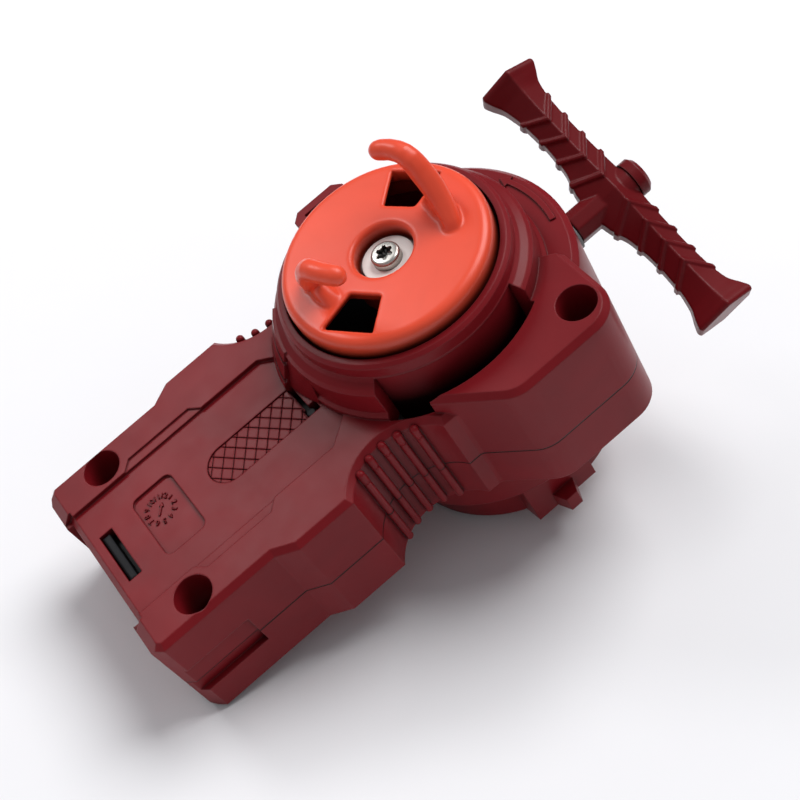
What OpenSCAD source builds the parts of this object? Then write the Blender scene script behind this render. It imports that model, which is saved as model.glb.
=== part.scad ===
// Pull-string launcher for a spinning top.
// Z is the spin axis with the hooks upwards, +X points to the pull handle, and the grip lies along -X.
// The origin is on the spin axis, on the rear face that the launcher rests on.

/* [Housing] */
// Height of the housing's underside above the rear face
housing_base = 17.6; // [16:0.2:20]
// Depth of the rear half, from its underside to the seam
rear_depth = 10.5; // [9:0.5:12.5]
// Depth of the front half, from the seam to the grip's rails
front_depth = 13; // [11.5:0.5:16]
// Wall of both halves
wall = 2; // [1.6:0.1:2.4]
// Chamfer along the outer edges
edge_chamfer = 1; // [0.6:0.1:1.4]

/* [Grip] */
// Spin axis to the end of the grip
grip_end = 68.2; // [66:0.2:74]
// Width of the grip at its end
grip_w = 41.8; // [40:0.2:44]
// How far each shoulder stands out past the grip
shoulder_step = 2.15; // [1.4:0.05:3]
// Spin axis to the full width of the shoulders
shoulder_x = 40.3; // [38:0.1:43]
// Length of the slope up to a shoulder
shoulder_run = 3.8; // [2.4:0.1:5]
// Cut across the corners of the grip's end
corner_cut = 2; // [1:0.1:3]
// Chamfer across the grip's end
end_chamfer = 1.8; // [1:0.1:2]
// Width of the sunk panel between the rails
panel_w = 25.1; // [22:0.1:26.5]
// Depth of the sunk panel
panel_depth = 0.8; // [0.4:0.1:1]
// Length of the thumb strip
strip_l = 19.6; // [14:0.2:22]
// Width of the thumb strip
strip_w = 7.7; // [6:0.1:9]
// Number of ribs in each side of the waist
rib_count = 5; // [3:1:6]
// Width of a waist rib
rib_d = 1.4; // [1:0.1:1.8]

/* [Round body] */
// Offset of the round body from the spin axis, towards the handle
round_x = 2.6; // [1.5:0.1:3.5]
// Radius of the round body
round_r = 25.7; // [25:0.1:28]
// Spin axis to the middle of the waist
waist_x = 20.2; // [19:0.1:21.5]
// Radius of the hollow in each side of the waist
waist_r = 10.5; // [10:0.1:12]
// Rise of the screw ear above the grip
ear_rise = 3.5; // [2.6:0.1:4.6]
// Radius of the ear's corners
ear_r = 6; // [5.4:0.1:7]
// Distance of the ear's screw from the middle plane
ear_y = 25.2; // [24.4:0.1:27]
// Distance of the ear's screw along the launcher
ear_x = 16.4; // [15:0.1:18]
// Length of the ear's straight side
ear_run = 13; // [11:0.1:14.6]

/* [Tower and hook disc] */
// Radius of the hook disc
disc_r = 18; // [17:0.1:18.6]
// Gap round the hook disc
disc_gap = 0.5; // [0.3:0.05:0.8]
// Height of the hook disc's face above the grip
disc_rise = 14; // [12.5:0.1:16]
// Depth of the hook disc's rim
disc_depth = 6.5; // [5.5:0.1:7.5]
// Thickness of the hook disc's face
disc_plate = 2.6; // [2:0.1:3.2]
// Wall of the tower's lip
lip_wall = 1.6; // [1.2:0.1:2]
// Height of the tower's lip above the grip
lip_rise = 10.8; // [9.6:0.1:12]
// Height of the tower's step above the grip
step_rise = 6.9; // [5.6:0.1:8]
// How far the step stands out past the lip
step_out = 2.3; // [1.6:0.1:2.6]
// Radius of the well round the centre screw
well_r = 5.1; // [4.8:0.1:5.8]
// Depth of the well round the centre screw
well_depth = 3.2; // [3:0.1:3.8]
// Height of the hook's finger above the disc's face
hook_rise = 9.7; // [8:0.1:12]
// Thickness of the hook's finger
hook_d = 3.6; // [2.8:0.1:4]
// Radius of the circle on which the hooks stand
hook_circle_r = 11.9; // [11:0.1:12.6]

/* [Drive] */
// Diameter of the steel axle
axle_d = 4; // [3:0.1:5]
// Radius of the reel's flanges
reel_r = 20; // [18:0.1:20.4]
// Radius of the reel's core
reel_core_r = 12.5; // [11:0.1:14]
// Diameter of the string
string_d = 1.2; // [0.8:0.1:1.6]
// Thickness of the spiral spring's strip
spring_t = 0.5; // [0.3:0.05:0.6]
// Number of turns in the spiral spring
spring_turns = 8; // [5:1:9]
// Number of ratchet teeth in the hub
ratchet_count = 12; // [8:2:16]

/* [Selector dial] */
// Radius of the selector dial
dial_r = 21; // [20.4:0.1:22]
// Wall of the selector dial, outside the drum that it turns on
dial_wall = 4; // [3.6:0.1:5]
// Reach of the finger lugs past the dial
lug_reach = 0.9; // [0.5:0.1:2.5]
// Width of a finger lug
lug_w = 13.8; // [11:0.1:16]
// Radius of the band between the dial and the housing
band_r = 24; // [23:0.1:24.6]
// Height of the band between the dial and the housing
band_h = 7; // [6:0.1:8.5]

/* [Pull handle] */
// Spin axis to the middle of the handle's bar
bar_x = 38.9; // [38.4:0.1:44]
// Length of the handle's bar
bar_l = 56; // [46:0.5:62]
// Width of the bar's flared ends
bar_end_w = 11.4; // [9:0.1:13]
// Turn of the handle about its string
handle_turn = 27; // [0:1:34]
// Width across the handle's stem
stem_w = 6.2; // [5.6:0.1:7]
// Number of chevron ribs on each half of the bar
bar_rib_count = 4; // [2:1:5]
// Radius of the plug behind the string's knot
plug_r = 3.5; // [3:0.1:4.2]

/* [Hidden] */

$fn = 64;

// Overrun of a cut past the faces that it opens
cut = 1;
// Gap round a turning shaft, gap round a fixed pin and gap between faces that pass each other
run_fit = 0.05;
fixed_fit = 0.02;
pass_gap = 0.3;

// Levels of the housing
seam_z = housing_base + rear_depth;
face_z = seam_z + front_depth;
panel_z = face_z - panel_depth;
floor_z = housing_base + wall;
ceiling_z = panel_z - wall;
ear_z = face_z + ear_rise;

// Plan of the grip, one side: the end, the cut corner, the slope and the shoulder
grip_half = grip_w / 2;
shoulder_half = grip_half + shoulder_step;
slope_x = shoulder_x + shoulder_run;
grip_corner = [-grip_end, -(grip_half - corner_cut)];
grip_end_edge = [[-grip_end, 0], grip_corner];
grip_side = [grip_corner, [-(grip_end - corner_cut), -grip_half], [-slope_x, -grip_half],
    [-shoulder_x, -shoulder_half], [0, -shoulder_half]];

// The waist's hollows touch the round body
waist_y = sqrt(pow(round_r + waist_r, 2) - pow(waist_x + round_x, 2));
waist_half = waist_y - waist_r;

// Screws of the housing, their holes and their bosses
screw_hole_r = 3.4;
screw_head_r = 2.9;
screw_head_h = 2;
screw_r = 1.15;
screw_boss_wall = 1.6;
screw_seat_h = 2.5;
grip_screw_in = 10.8;
grip_screw_edge = 4.2;
screw_places = [[-(grip_end - grip_screw_in), grip_half - grip_screw_edge],
    [-(grip_end - grip_screw_in), -(grip_half - grip_screw_edge)], [ear_x, -ear_y]];

// The ear's two round corners, the run between them and the flanks that reach the round body
ear_corner_in = 1.2;
ear_far_x = ear_x - ear_corner_in;
ear_near_x = ear_far_x - ear_run;
ear_out_y = ear_y + ear_r;
flank_turn = 45;
flank_l = 12;
flank_foot = [ear_near_x - ear_r * sin(flank_turn), -ear_y - ear_r * cos(flank_turn)];
flank_top = flank_foot + flank_l * [-cos(flank_turn), sin(flank_turn)];
ear_end_x = ear_far_x + ear_r;
ear_end_y = sqrt(pow(round_r, 2) - pow(ear_end_x - round_x, 2));
ear_flank = [flank_top, flank_foot];
ear_side = [[ear_near_x, -ear_out_y], [ear_far_x, -ear_out_y]];
ear_end = [[ear_end_x, -ear_y], [ear_end_x, wall - ear_end_y]];

// Strap loop on the far side of the round body
loop_l = 10.8;
loop_w = 5;
loop_h = 5.6;
loop_top = 2.6;
loop_slot_l = 6.4;
loop_slot_w = 2;
loop_bar = 1.6;
loop_pad_l = 15.6;
loop_pad_w = 3;
loop_pad_drop = 1.4;
loop_pad_shift = 1.4;

// Levels and rings of the tower
lip_r = disc_r + disc_gap + lip_wall;
lip_z = face_z + lip_rise;
step_r = lip_r + step_out;
step_z = face_z + step_rise;
bore_r = disc_r + disc_gap;
tower_foot_out = 0.6;
tower_foot_h = 1.2;
tower_bevel = 0.6;
// Well beside the tower, as an arc under the lip
trench_from = -136;
trench_span = 78;
trench_wall = 1.2;
trench_rim = 1;
trench_depth = 9;
trench_r0 = bore_r + trench_wall;
trench_r1 = sqrt(pow(waist_x, 2) + pow(waist_y, 2)) - waist_r - trench_rim;
// Sloping web from the tower to the grip
web_from = 146;
web_span = 26;
web_out = 3.4;
web_groove_shares = [0.2, 0.7];
web_groove_half_share = 0.05;
web_groove_depth = 0.5;

// Sunk panel, its ledges, the thumb strip, the plain recess and the two windows of the grip
panel_end_x = 26;
panel_point_x = 19;
panel_point_half = 7;
ledge_out = 1.8;
ledge_depth = 0.35;
ledge_in = 15.2;
ledge_from = grip_end - ledge_in;
ledge_to = 40;
end_inset = 1.2;
strip_x = 24.6;
strip_depth = 0.5;
plate_l = 8.2;
plate_in = 11;
plate_x = grip_end - plate_in - plate_l;
plate_w = 14;
plate_r = 1.4;
plate_depth = 0.5;
end_window_in = 3.7;
end_window_l = 2.6;
end_window_w = 11.3;
nose_slot_l = 0.8;
nub_window_w = 2;
nub_window_back = 1.2;
nub_window_front = 1.4;
// Rails along the sides of the grip, as shallow steps beside the seam
side_step_l = 14.4;
side_step_h = 4.4;
side_step_depth = 0.5;
side_groove_h = 3.2;
side_groove_depth = 1.2;

// Waist ribs
rib_step = 16.5;
rib_seat = 0.4;
rib_drop = 1.8;

// Rear drum round the round body's middle, with a room for the spring above a narrower room
drum_x = round_x;
drum_r = dial_r - dial_wall;
drum_wall = 1.8;
band_z0 = housing_base - band_h;
shelf_t = 1.6;
shelf_z = band_z0 + shelf_t;
spring_room_r = band_r - drum_wall - drum_x;
core_room_r = drum_r - drum_wall - drum_x;

// Reel, clutch and hub, one above the other on the axle
axle_r = axle_d / 2;
cap_floor = 2.4;
axle_seat = 1.2;
axle_z0 = cap_floor - axle_seat;
axle_boss_wall = 2;
reel_gap = 1.2;
cavity_r = reel_r + reel_gap;
washer_t = 0.4;
reel_z0 = floor_z + washer_t + fixed_fit;
flange_t = 1.4;
groove_z0 = reel_z0 + flange_t;
groove_z1 = seam_z + seam_z - groove_z0;
reel_top = groove_z1 + flange_t;
arbor_wall = 1.6;
arbor_r = axle_r + arbor_wall;
arbor_z0 = shelf_z + pass_gap;
winding_edge = 0.8;
clutch_t = 2;
clutch_r = 8;
clutch_arm_w = 1.6;
clutch_tip_gap = 1.5;
clutch_step_count = 12;
hub_wall = 2.2;
hub_r = bore_r - reel_gap;
ratchet_r = hub_r - hub_wall;
tooth_depth = 1.2;
ratchet_pitch = 360 / ratchet_count;
tooth_share = 0.8;
clutch_tip_r = ratchet_r - pass_gap - clutch_arm_w / 2;
hub_z0 = reel_top + pass_gap;
hub_plate_z0 = reel_top + clutch_t + pass_gap;
hub_plate_t = 2;
disc_z = face_z + disc_rise;
well_z = disc_z - well_depth;
well_floor = 1.4;
boss_top = well_z - well_floor;
boss_r = 4.4;
boss_socket_l = 3;
boss_solid = 6;
bore_top = boss_top - boss_solid;
axle_top = bore_top - pass_gap;

// Screw in the hub's boss that keeps the hook disc, and its washer
end_screw_r = 1.2;
end_screw_head_r = 2.5;
end_screw_head_h = 1.7;
end_screw_dome = 0.5;
end_screw_l = 4.6;
end_washer_r = 4.5;
end_washer_t = 0.6;

// Rim of the hook disc, its windows and its hooks, by angle round the spin axis
disc_wall = 1.8;
disc_round = 1.6;
disc_round_steps = 6;
disc_boss_wall = 2.2;
window_in_turns = [17, 54];
window_out_turns = [22, 49];
window_r0 = 9;
window_r1 = 15.8;
hook_foot_from = -25;
hook_foot_to = 9;
hook_elbow = 6;
hook_knuckle = 20;
hook_tip = 38;
hook_foot_share = 1;
hook_elbow_share = 1;
hook_lift_share = 0.12;

// Drum flange that keeps the dial, the dial's lugs and their nubs
drum_flange = 1.4;
drum_flange_t = 1.2;
dial_chamfer = 0.8;
dial_z0 = pass_gap;
dial_z1 = band_z0 - pass_gap;
lug_taper = 0.5;
lug_root = 4;
lug_seat = 1;
nub_w = 4.6;
nub_reach = 2.8;
nub_taper = 1.1;
nub_h_share = 0.36;

// Spiral spring between the reel's arbor and the drum
spring_steps = 24;
spring_r0 = arbor_r + spring_t + pass_gap;
spring_r1 = spring_room_r - spring_t - pass_gap;

// String, its guide in the seam and the handle
string_r = string_d / 2;
string_sides = 10;
string_room = 0.5;
guide_wall = 1.4;
guide_rim = 1;
guide_bore_r = string_r + string_room;
guide_r = guide_bore_r + guide_wall;
guide_flange_r = guide_r + guide_rim;
guide_flange_t = 0.8;
guide_x = round_x + round_r;
guide_reel_gap = 0.6;
guide_l = guide_x - reel_r - guide_reel_gap;
stem_x = guide_x + guide_flange_t + pass_gap;
bar_half = bar_l / 2;
stem_sides = 8;
stem_root = 2;
knot_r = 1.7;
pocket_r = 2.3;
plug_out = 2.4;
plug_chamfer = 0.7;
bar_end_h_share = 0.9;
bar_edge_share = 0.36;
bar_rib_h = 0.45;
bar_rib_w = 1.1;
bar_rib_from_share = 0.11;
bar_rib_to_share = 0.6;
bar_rib_front_share = 0.1;
bar_rib_back_share = 0.14;
// Half widths along the bar, as shares of the flared end's: towards the housing, away from it and in height
bar_front_shares = [[0, 0.98], [0.14, 0.9], [0.3, 0.65], [0.5, 0.56], [0.7, 0.6], [0.86, 0.78],
    [0.95, 0.96], [0.98, 1], [1, 0.93]];
bar_back_shares = [[0, 0.62], [0.14, 0.58], [0.3, 0.55], [0.5, 0.54], [0.7, 0.58], [0.86, 0.76],
    [0.95, 0.95], [0.98, 1], [1, 0.93]];
bar_height_shares = [[0, 0.84], [0.14, 0.76], [0.3, 0.68], [0.5, 0.64], [0.7, 0.67], [0.86, 0.8],
    [0.95, 0.95], [0.98, 1], [1, 0.93]];

// Black bar under the grip's face, its rails and its spring
lock_t = 2.2;
lock_end_w = 14;
lock_end_l = 4.6;
lock_w = 5;
lock_gap = 0.3;
lock_top = ceiling_z - lock_gap;
lock_z0 = lock_top - lock_t;
lock_end_x = grip_end - end_inset - wall - lock_gap;
nose_d = 1.5;
nose_y = 3.6;
nose_sink = 0.1;
nose_in = 0.3;
rail_w = 1.2;
rail_lip = 1;
rail_in = 12.2;
rail_from = grip_end - rail_in;
rail_to = 30;
bridge_in = 16.2;
bridge_x = grip_end - bridge_in;
bridge_t = 1.2;
lock_tab_t = 1.2;
lock_tab_h = 3.6;
coil_r = 1.3;
coil_wire_r = 0.2;
coil_turns = 6;
coil_steps = 8;
coil_sides = 6;

// Chamfered rim of a round
module chamfered_round(r, z0, z1, c) {
    rotate_extrude() polygon([[0, z0], [r, z0], [r, z1 - c], [r - c, z1], [0, z1]]);
}

// The way along an edge, the way to its left, and the mitre of the two edges that meet at a corner
function along(a, b) = (b - a) / norm(b - a);
function left_of(a, b) = [[0, -1], [1, 0]] * along(a, b);
function mitre(points, i) =
    let(last = len(points) - 1,
        into = max(i, 1),
        from = min(i, last - 1),
        before = left_of(points[into - 1], points[into]),
        after = left_of(points[from], points[from + 1]))
    (before + after) / (1 + before * after);

// One mitred chamfer along straight edges that have the body on their left, run past its two ends
module edge_cuts(points, z, c) {
    last = len(points) - 1;
    profile = [[c, 0], [c, cut], [-cut, cut], [-cut, -c], [0, -c]];
    run = concat([points[0] - cut * along(points[0], points[1])],
        [for (i = [1 : 1 : last - 1]) points[i]],
        [points[last] + cut * along(points[last - 1], points[last])]);
    loft([for (i = [0 : last]) let(way = mitre(points, i))
        [for (p = profile) [run[i][0] + p[0] * way[0], run[i][1] + p[0] * way[1], z + p[1]]]]);
}

// A ring sector about the spin axis
module ring_sector(r0, r1, z0, z1, from, span) {
    rotate([0, 0, from]) rotate_extrude(angle = span) translate([r0, z0]) square([r1 - r0, z1 - z0]);
}

// Outer forms of the housing, each from its seam at z0 to its chamfered face at z1
module grip_mass(z0, z1) {
    difference() {
        for (side = [0, 1]) mirror([0, side, 0]) translate([0, 0, z0])
            linear_extrude(z1 - z0) polygon(concat([[-grip_end, 0]], grip_side, [[0, 0]]));
        for (side = [0, 1]) mirror([0, side, 0]) {
            edge_cuts(grip_side, z1, edge_chamfer);
            edge_cuts(grip_end_edge, z1, end_chamfer);
        }
    }
}

module ear_mass(z0, z1) {
    for (x = [ear_near_x, ear_far_x]) translate([x, -ear_y, 0])
        chamfered_round(ear_r, z0, z1, edge_chamfer);
    difference() {
        translate([0, 0, z0]) linear_extrude(z1 - z0)
            polygon(concat(ear_flank, [[ear_near_x, -ear_y]], ear_side, [[ear_far_x, -ear_y]], ear_end,
                [[0, 0]]));
        for (edge = [ear_flank, ear_side, ear_end]) edge_cuts(edge, z1, edge_chamfer);
    }
}

module waist_cuts(z0, z1, chamfer_z) {
    for (side = [-1, 1]) translate([-waist_x, side * waist_y, 0]) {
        translate([0, 0, z0 - cut]) cylinder(r = waist_r, h = z1 - z0 + cut + cut);
        translate([0, 0, chamfer_z - edge_chamfer])
            cylinder(r1 = waist_r, r2 = waist_r + edge_chamfer, h = edge_chamfer);
    }
}

module waist_ribs(z0, z1) {
    for (side = [-1, 1], i = [0 : rib_count - 1]) {
        turn = (i - (rib_count - 1) / 2) * rib_step;
        reach = waist_r - rib_seat;
        translate([-waist_x + reach * sin(turn), side * (waist_y - reach * cos(turn)), z0]) {
            cylinder(d = rib_d, h = z1 - z0);
            translate([0, 0, z1 - z0]) sphere(d = rib_d);
        }
    }
}

module grip_hollow(z0, z1) {
    inner_x = grip_end - end_inset - wall;
    inner_half = grip_half - wall;
    waist_inner = waist_half - wall;
    difference() {
        union() {
            translate([-inner_x, -inner_half, z0])
                cube([inner_x - shoulder_x, inner_half + inner_half, z1 - z0]);
            translate([-shoulder_x - cut, -waist_inner, z0])
                cube([shoulder_x + cut, waist_inner + waist_inner, z1 - z0]);
            translate([0, 0, z0]) cylinder(r = cavity_r, h = z1 - z0);
        }
        for (place = screw_places) translate([place[0], place[1], z0 - cut])
            cylinder(r = screw_hole_r + screw_boss_wall, h = z1 - z0 + cut + cut);
    }
}

module strap_loop() {
    edge_y = sqrt(pow(round_r, 2) - pow(round_x, 2));
    top_z = face_z + loop_top;
    difference() {
        union() {
            translate([-loop_l / 2, 0, top_z - loop_h]) linear_extrude(loop_h)
                polygon([[0, edge_y - wall], [loop_l, edge_y - wall], [loop_l, edge_y + loop_w - loop_bar],
                    [loop_l - loop_bar, edge_y + loop_w], [loop_bar, edge_y + loop_w],
                    [0, edge_y + loop_w - loop_bar]]);
            translate([-loop_pad_l / 2 - loop_pad_shift, edge_y - loop_w, seam_z + wall])
                cube([loop_pad_l, loop_w + loop_pad_w, face_z - loop_pad_drop - seam_z - wall]);
        }
        translate([-loop_slot_l / 2, edge_y + loop_w - loop_bar - loop_slot_w, seam_z])
            cube([loop_slot_l, loop_slot_w, top_z - seam_z + cut]);
    }
}

module tower_mass() {
    foot_r = step_r + tower_foot_out;
    slope_l = norm([web_out, step_rise]);
    slope = [for (s = web_groove_shares, side = [-1, 1], depth = side < 0 ? [0, 1] : [1, 0])
        let(t = s + side * web_groove_half_share, sunk = depth * web_groove_depth / slope_l)
        [step_r + web_out * (1 - t) - step_rise * sunk, face_z + step_rise * t - web_out * sunk]];
    rotate_extrude() polygon([[bore_r, ceiling_z], [foot_r, ceiling_z], [foot_r, face_z + tower_bevel],
        [step_r, face_z + tower_foot_h], [step_r, step_z - tower_bevel], [step_r - tower_bevel, step_z],
        [lip_r + tower_bevel, step_z + tower_bevel], [lip_r, step_z + tower_foot_h],
        [lip_r, lip_z - tower_bevel], [lip_r - tower_bevel, lip_z], [bore_r, lip_z]]);
    rotate([0, 0, web_from]) rotate_extrude(angle = web_span)
        polygon(concat([[bore_r, ceiling_z], [step_r + web_out, ceiling_z], [step_r + web_out, face_z]],
            slope, [[step_r, step_z], [bore_r, step_z]]));
}

module rounded_plate(l, w, r) {
    translate([r, 0]) square([l - r - r, w]);
    translate([0, r]) square([l, w - r - r]);
    for (x = [r, l - r], y = [r, w - r]) translate([x, y]) circle(r = r);
}

// The sunk panel runs from the grip's end to a blunt point under the tower
module panel_cuts() {
    half = panel_w / 2;
    ledge_half = half + ledge_out;
    translate([0, 0, panel_z]) linear_extrude(panel_depth + cut)
        polygon([[-grip_end - cut, -half], [-panel_end_x, -half], [-panel_point_x, -panel_point_half],
            [-panel_point_x, panel_point_half], [-panel_end_x, half], [-grip_end - cut, half]]);
    translate([0, 0, face_z - ledge_depth]) linear_extrude(ledge_depth + cut)
        polygon([[-ledge_from - ledge_out, -half], [-ledge_from, -ledge_half], [-ledge_to, -ledge_half],
            [-ledge_to + ledge_out, -half], [-ledge_to + ledge_out, half], [-ledge_to, ledge_half],
            [-ledge_from, ledge_half], [-ledge_from - ledge_out, half]]);
    translate([-grip_end - cut, -half, seam_z - cut])
        cube([end_inset + cut, panel_w, front_depth + cut + cut]);
    edge_cuts([[end_inset - grip_end, half], [end_inset - grip_end, -half]], panel_z, edge_chamfer);
}

module grip_face_cuts() {
    strip_r = strip_w / 2;
    translate([-strip_x, 0, panel_z - strip_depth]) linear_extrude(strip_depth + cut) {
        translate([strip_r - strip_l, -strip_r]) square([strip_l - strip_r, strip_w]);
        translate([strip_r - strip_l, 0]) circle(r = strip_r);
    }
    translate([-plate_x - plate_l, -plate_w / 2, panel_z - plate_depth])
        linear_extrude(plate_depth + cut) rounded_plate(plate_l, plate_w, plate_r);
    translate([-grip_end + end_window_in, -end_window_w / 2, ceiling_z - cut])
        cube([end_window_l, end_window_w, wall + cut + cut]);
    nub_top = nub_window_w - strip_r;
    translate([-strip_x, 0, ceiling_z - cut]) linear_extrude(wall + cut + cut)
        polygon([[-nub_window_back, -strip_r], [nub_window_front, -strip_r], [nub_window_front, nub_top],
            [0, nub_top], [0, strip_r], [-nose_slot_l, strip_r], [-nose_slot_l, nub_top],
            [-nub_window_back, nub_top]]);
}

module screw_holes(top_z) {
    for (place = screw_places) translate([place[0], place[1], 0]) {
        translate([0, 0, seam_z + screw_seat_h]) cylinder(r = screw_hole_r, h = top_z - seam_z);
        translate([0, 0, seam_z - cut]) cylinder(r = screw_r + pass_gap, h = screw_seat_h + cut + cut);
    }
}

module guide_hole() {
    translate([guide_x - guide_l, 0, seam_z]) rotate([0, 90, 0])
        cylinder(r = guide_r + fixed_fit, h = guide_l + cut);
}

module side_cuts(depth, z0, h) {
    for (side = [0, 1]) mirror([0, side, 0])
        translate([-grip_end - cut, grip_half - depth, z0]) cube([side_step_l + cut, depth + cut, h]);
}

// Two rails under the grip's face carry the black bar, and a bridge below them backs its spring
module lock_rails() {
    in_half = lock_w / 2 + lock_gap;
    rail_z0 = lock_z0 - lock_gap - rail_w;
    rail_l = rail_from - rail_to;
    for (side = [0, 1]) mirror([0, side, 0]) translate([-rail_from, 0, rail_z0]) {
        translate([0, in_half, 0]) cube([rail_l, rail_w, ceiling_z - rail_z0 + fixed_fit]);
        translate([0, in_half - rail_lip, 0]) cube([rail_l, rail_lip + rail_w, rail_w]);
    }
    translate([-bridge_x, -in_half, rail_z0 - lock_tab_h + rail_w])
        cube([bridge_t, in_half + in_half, lock_tab_h]);
}

module front_housing() {
    color("firebrick") {
        difference() {
            union() {
                difference() {
                    union() {
                        grip_mass(seam_z, face_z);
                        translate([round_x, 0, 0]) chamfered_round(round_r, seam_z, face_z, edge_chamfer);
                        ear_mass(seam_z, ear_z);
                        strap_loop();
                    }
                    waist_cuts(seam_z, ear_z, face_z);
                    panel_cuts();
                    grip_face_cuts();
                    side_cuts(side_step_depth, seam_z - cut, side_step_h + cut);
                }
                waist_ribs(seam_z, face_z - rib_drop);
                tower_mass();
            }
            grip_hollow(seam_z - cut, ceiling_z);
            translate([0, 0, seam_z]) cylinder(r = bore_r, h = disc_z - seam_z);
            ring_sector(trench_r0, trench_r1, face_z - trench_depth, step_z + cut, trench_from,
                trench_span);
            ring_sector(lip_r, step_r + cut, face_z, lip_z, trench_from, trench_span);
            screw_holes(ear_z);
            guide_hole();
        }
        lock_rails();
    }
}

module rear_housing() {
    color("brown") difference() {
        union() {
            translate([0, 0, seam_z + housing_base]) mirror([0, 0, 1]) {
                difference() {
                    union() {
                        grip_mass(housing_base, seam_z);
                        translate([round_x, 0, 0])
                            chamfered_round(round_r, housing_base, seam_z, edge_chamfer);
                        ear_mass(housing_base, seam_z);
                    }
                    waist_cuts(housing_base, seam_z, seam_z);
                    side_cuts(side_groove_depth, housing_base - cut, side_groove_h + cut);
                }
                waist_ribs(housing_base, seam_z - rib_drop);
            }
        }
        grip_hollow(floor_z, seam_z + cut);
        translate([0, 0, housing_base - cut]) cylinder(r = arbor_r + pass_gap, h = wall + cut + cut);
        for (place = screw_places) translate([place[0], place[1], floor_z])
            cylinder(r = screw_r + fixed_fit, h = rear_depth);
        guide_hole();
    }
}

module rear_cap() {
    color("brown") difference() {
        union() {
            difference() {
                translate([drum_x, 0, 0]) {
                    cylinder(r = drum_r, h = housing_base);
                    cylinder(r = drum_r + drum_flange, h = drum_flange_t);
                    translate([0, 0, band_z0]) cylinder(r = band_r, h = band_h);
                }
                translate([0, 0, shelf_z]) cylinder(r = spring_room_r, h = housing_base);
                translate([0, 0, cap_floor]) cylinder(r = core_room_r, h = housing_base);
            }
            cylinder(r = axle_r + axle_boss_wall, h = shelf_z);
        }
        translate([0, 0, axle_z0]) cylinder(r = axle_r + fixed_fit, h = housing_base);
    }
}

// A round-headed screw with its head's seat at zero, pointing down
module end_screw() {
    rim_z = end_screw_head_h - end_screw_dome;
    rotate_extrude() polygon([[0, -end_screw_l], [end_screw_r, -end_screw_l], [end_screw_r, 0],
        [end_screw_head_r, 0], [end_screw_head_r, rim_z],
        [end_screw_head_r - end_screw_dome, end_screw_head_h], [0, end_screw_head_h]]);
}

// A flat-faced lug on the dial with a tapered nub at its foot
module dial_lug() {
    half = lug_w / 2;
    nub_half = nub_w / 2;
    face_y = dial_r + lug_reach;
    dial_h = dial_z1 - dial_z0;
    difference() {
        translate([0, 0, dial_z0]) {
            linear_extrude(dial_h) polygon([[-half, lug_root - dial_r], [-half + lug_taper, -face_y],
                [half - lug_taper, -face_y], [half, lug_root - dial_r]]);
            linear_extrude(dial_h * nub_h_share)
                polygon([[-nub_half, lug_seat - face_y], [-nub_half, -face_y],
                    [-nub_half + nub_taper, -face_y - nub_reach], [nub_half - nub_taper, -face_y - nub_reach],
                    [nub_half, -face_y], [nub_half, lug_seat - face_y]]);
        }
        translate([drum_x, 0, 0]) cylinder(r = dial_r - lug_seat, h = housing_base);
    }
}

module selector_dial() {
    step_in = drum_flange_t + pass_gap;
    in_r = drum_r + pass_gap;
    flange_in = in_r + drum_flange;
    color("brown") translate([drum_x, 0, 0]) {
        rotate_extrude() polygon([[flange_in, dial_z0], [dial_r - dial_chamfer, dial_z0],
            [dial_r, dial_z0 + dial_chamfer], [dial_r, dial_z1], [in_r, dial_z1], [in_r, step_in],
            [flange_in, step_in]]);
        for (turn = [0, 180]) rotate([0, 0, turn]) translate([-drum_x, 0, 0]) dial_lug();
    }
}

module housing_screws() {
    head_z = seam_z + screw_seat_h;
    color("silver") for (place = screw_places) translate([place[0], place[1], 0]) {
        translate([0, 0, head_z]) cylinder(r = screw_head_r, h = screw_head_h);
        translate([0, 0, floor_z + wall]) cylinder(r = screw_r, h = head_z - floor_z - wall);
    }
}

module main_axle() {
    color("silver") translate([0, 0, axle_z0]) cylinder(r = axle_r, h = axle_top - axle_z0);
}

module thrust_washer() {
    color("white") translate([0, 0, floor_z]) difference() {
        cylinder(r = arbor_r + drum_wall + drum_wall, h = washer_t);
        translate([0, 0, -cut]) cylinder(r = arbor_r + pass_gap, h = washer_t + cut + cut);
    }
}

// A strip wound from the arbor out to the drum's wall
module power_spring() {
    z0 = shelf_z + pass_gap;
    last = spring_turns * spring_steps;
    mid = [for (i = [0 : last]) spring_r0 + (spring_r1 - spring_r0) * i / last];
    way = [for (i = [0 : last]) [cos(360 * i / spring_steps), sin(360 * i / spring_steps)]];
    color("slategray") translate([0, 0, z0]) linear_extrude(housing_base - pass_gap - z0)
        polygon(concat([for (i = [0 : last]) (mid[i] - spring_t / 2) * way[i]],
            [for (i = [last : -1 : 0]) (mid[i] + spring_t / 2) * way[i]]));
}

module string_reel() {
    in_r = axle_r + run_fit;
    color("dimgray") rotate_extrude() polygon([[in_r, arbor_z0], [arbor_r, arbor_z0], [arbor_r, reel_z0],
        [reel_r, reel_z0], [reel_r, groove_z0], [reel_core_r, groove_z0], [reel_core_r, groove_z1],
        [reel_r, groove_z1], [reel_r, reel_top], [in_r, reel_top]]);
}

module wound_string() {
    in_r = reel_core_r + fixed_fit;
    color("gainsboro") rotate_extrude() translate([in_r, groove_z0 + winding_edge])
        square([string_d, groove_z1 - groove_z0 - winding_edge - winding_edge]);
}

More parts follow.
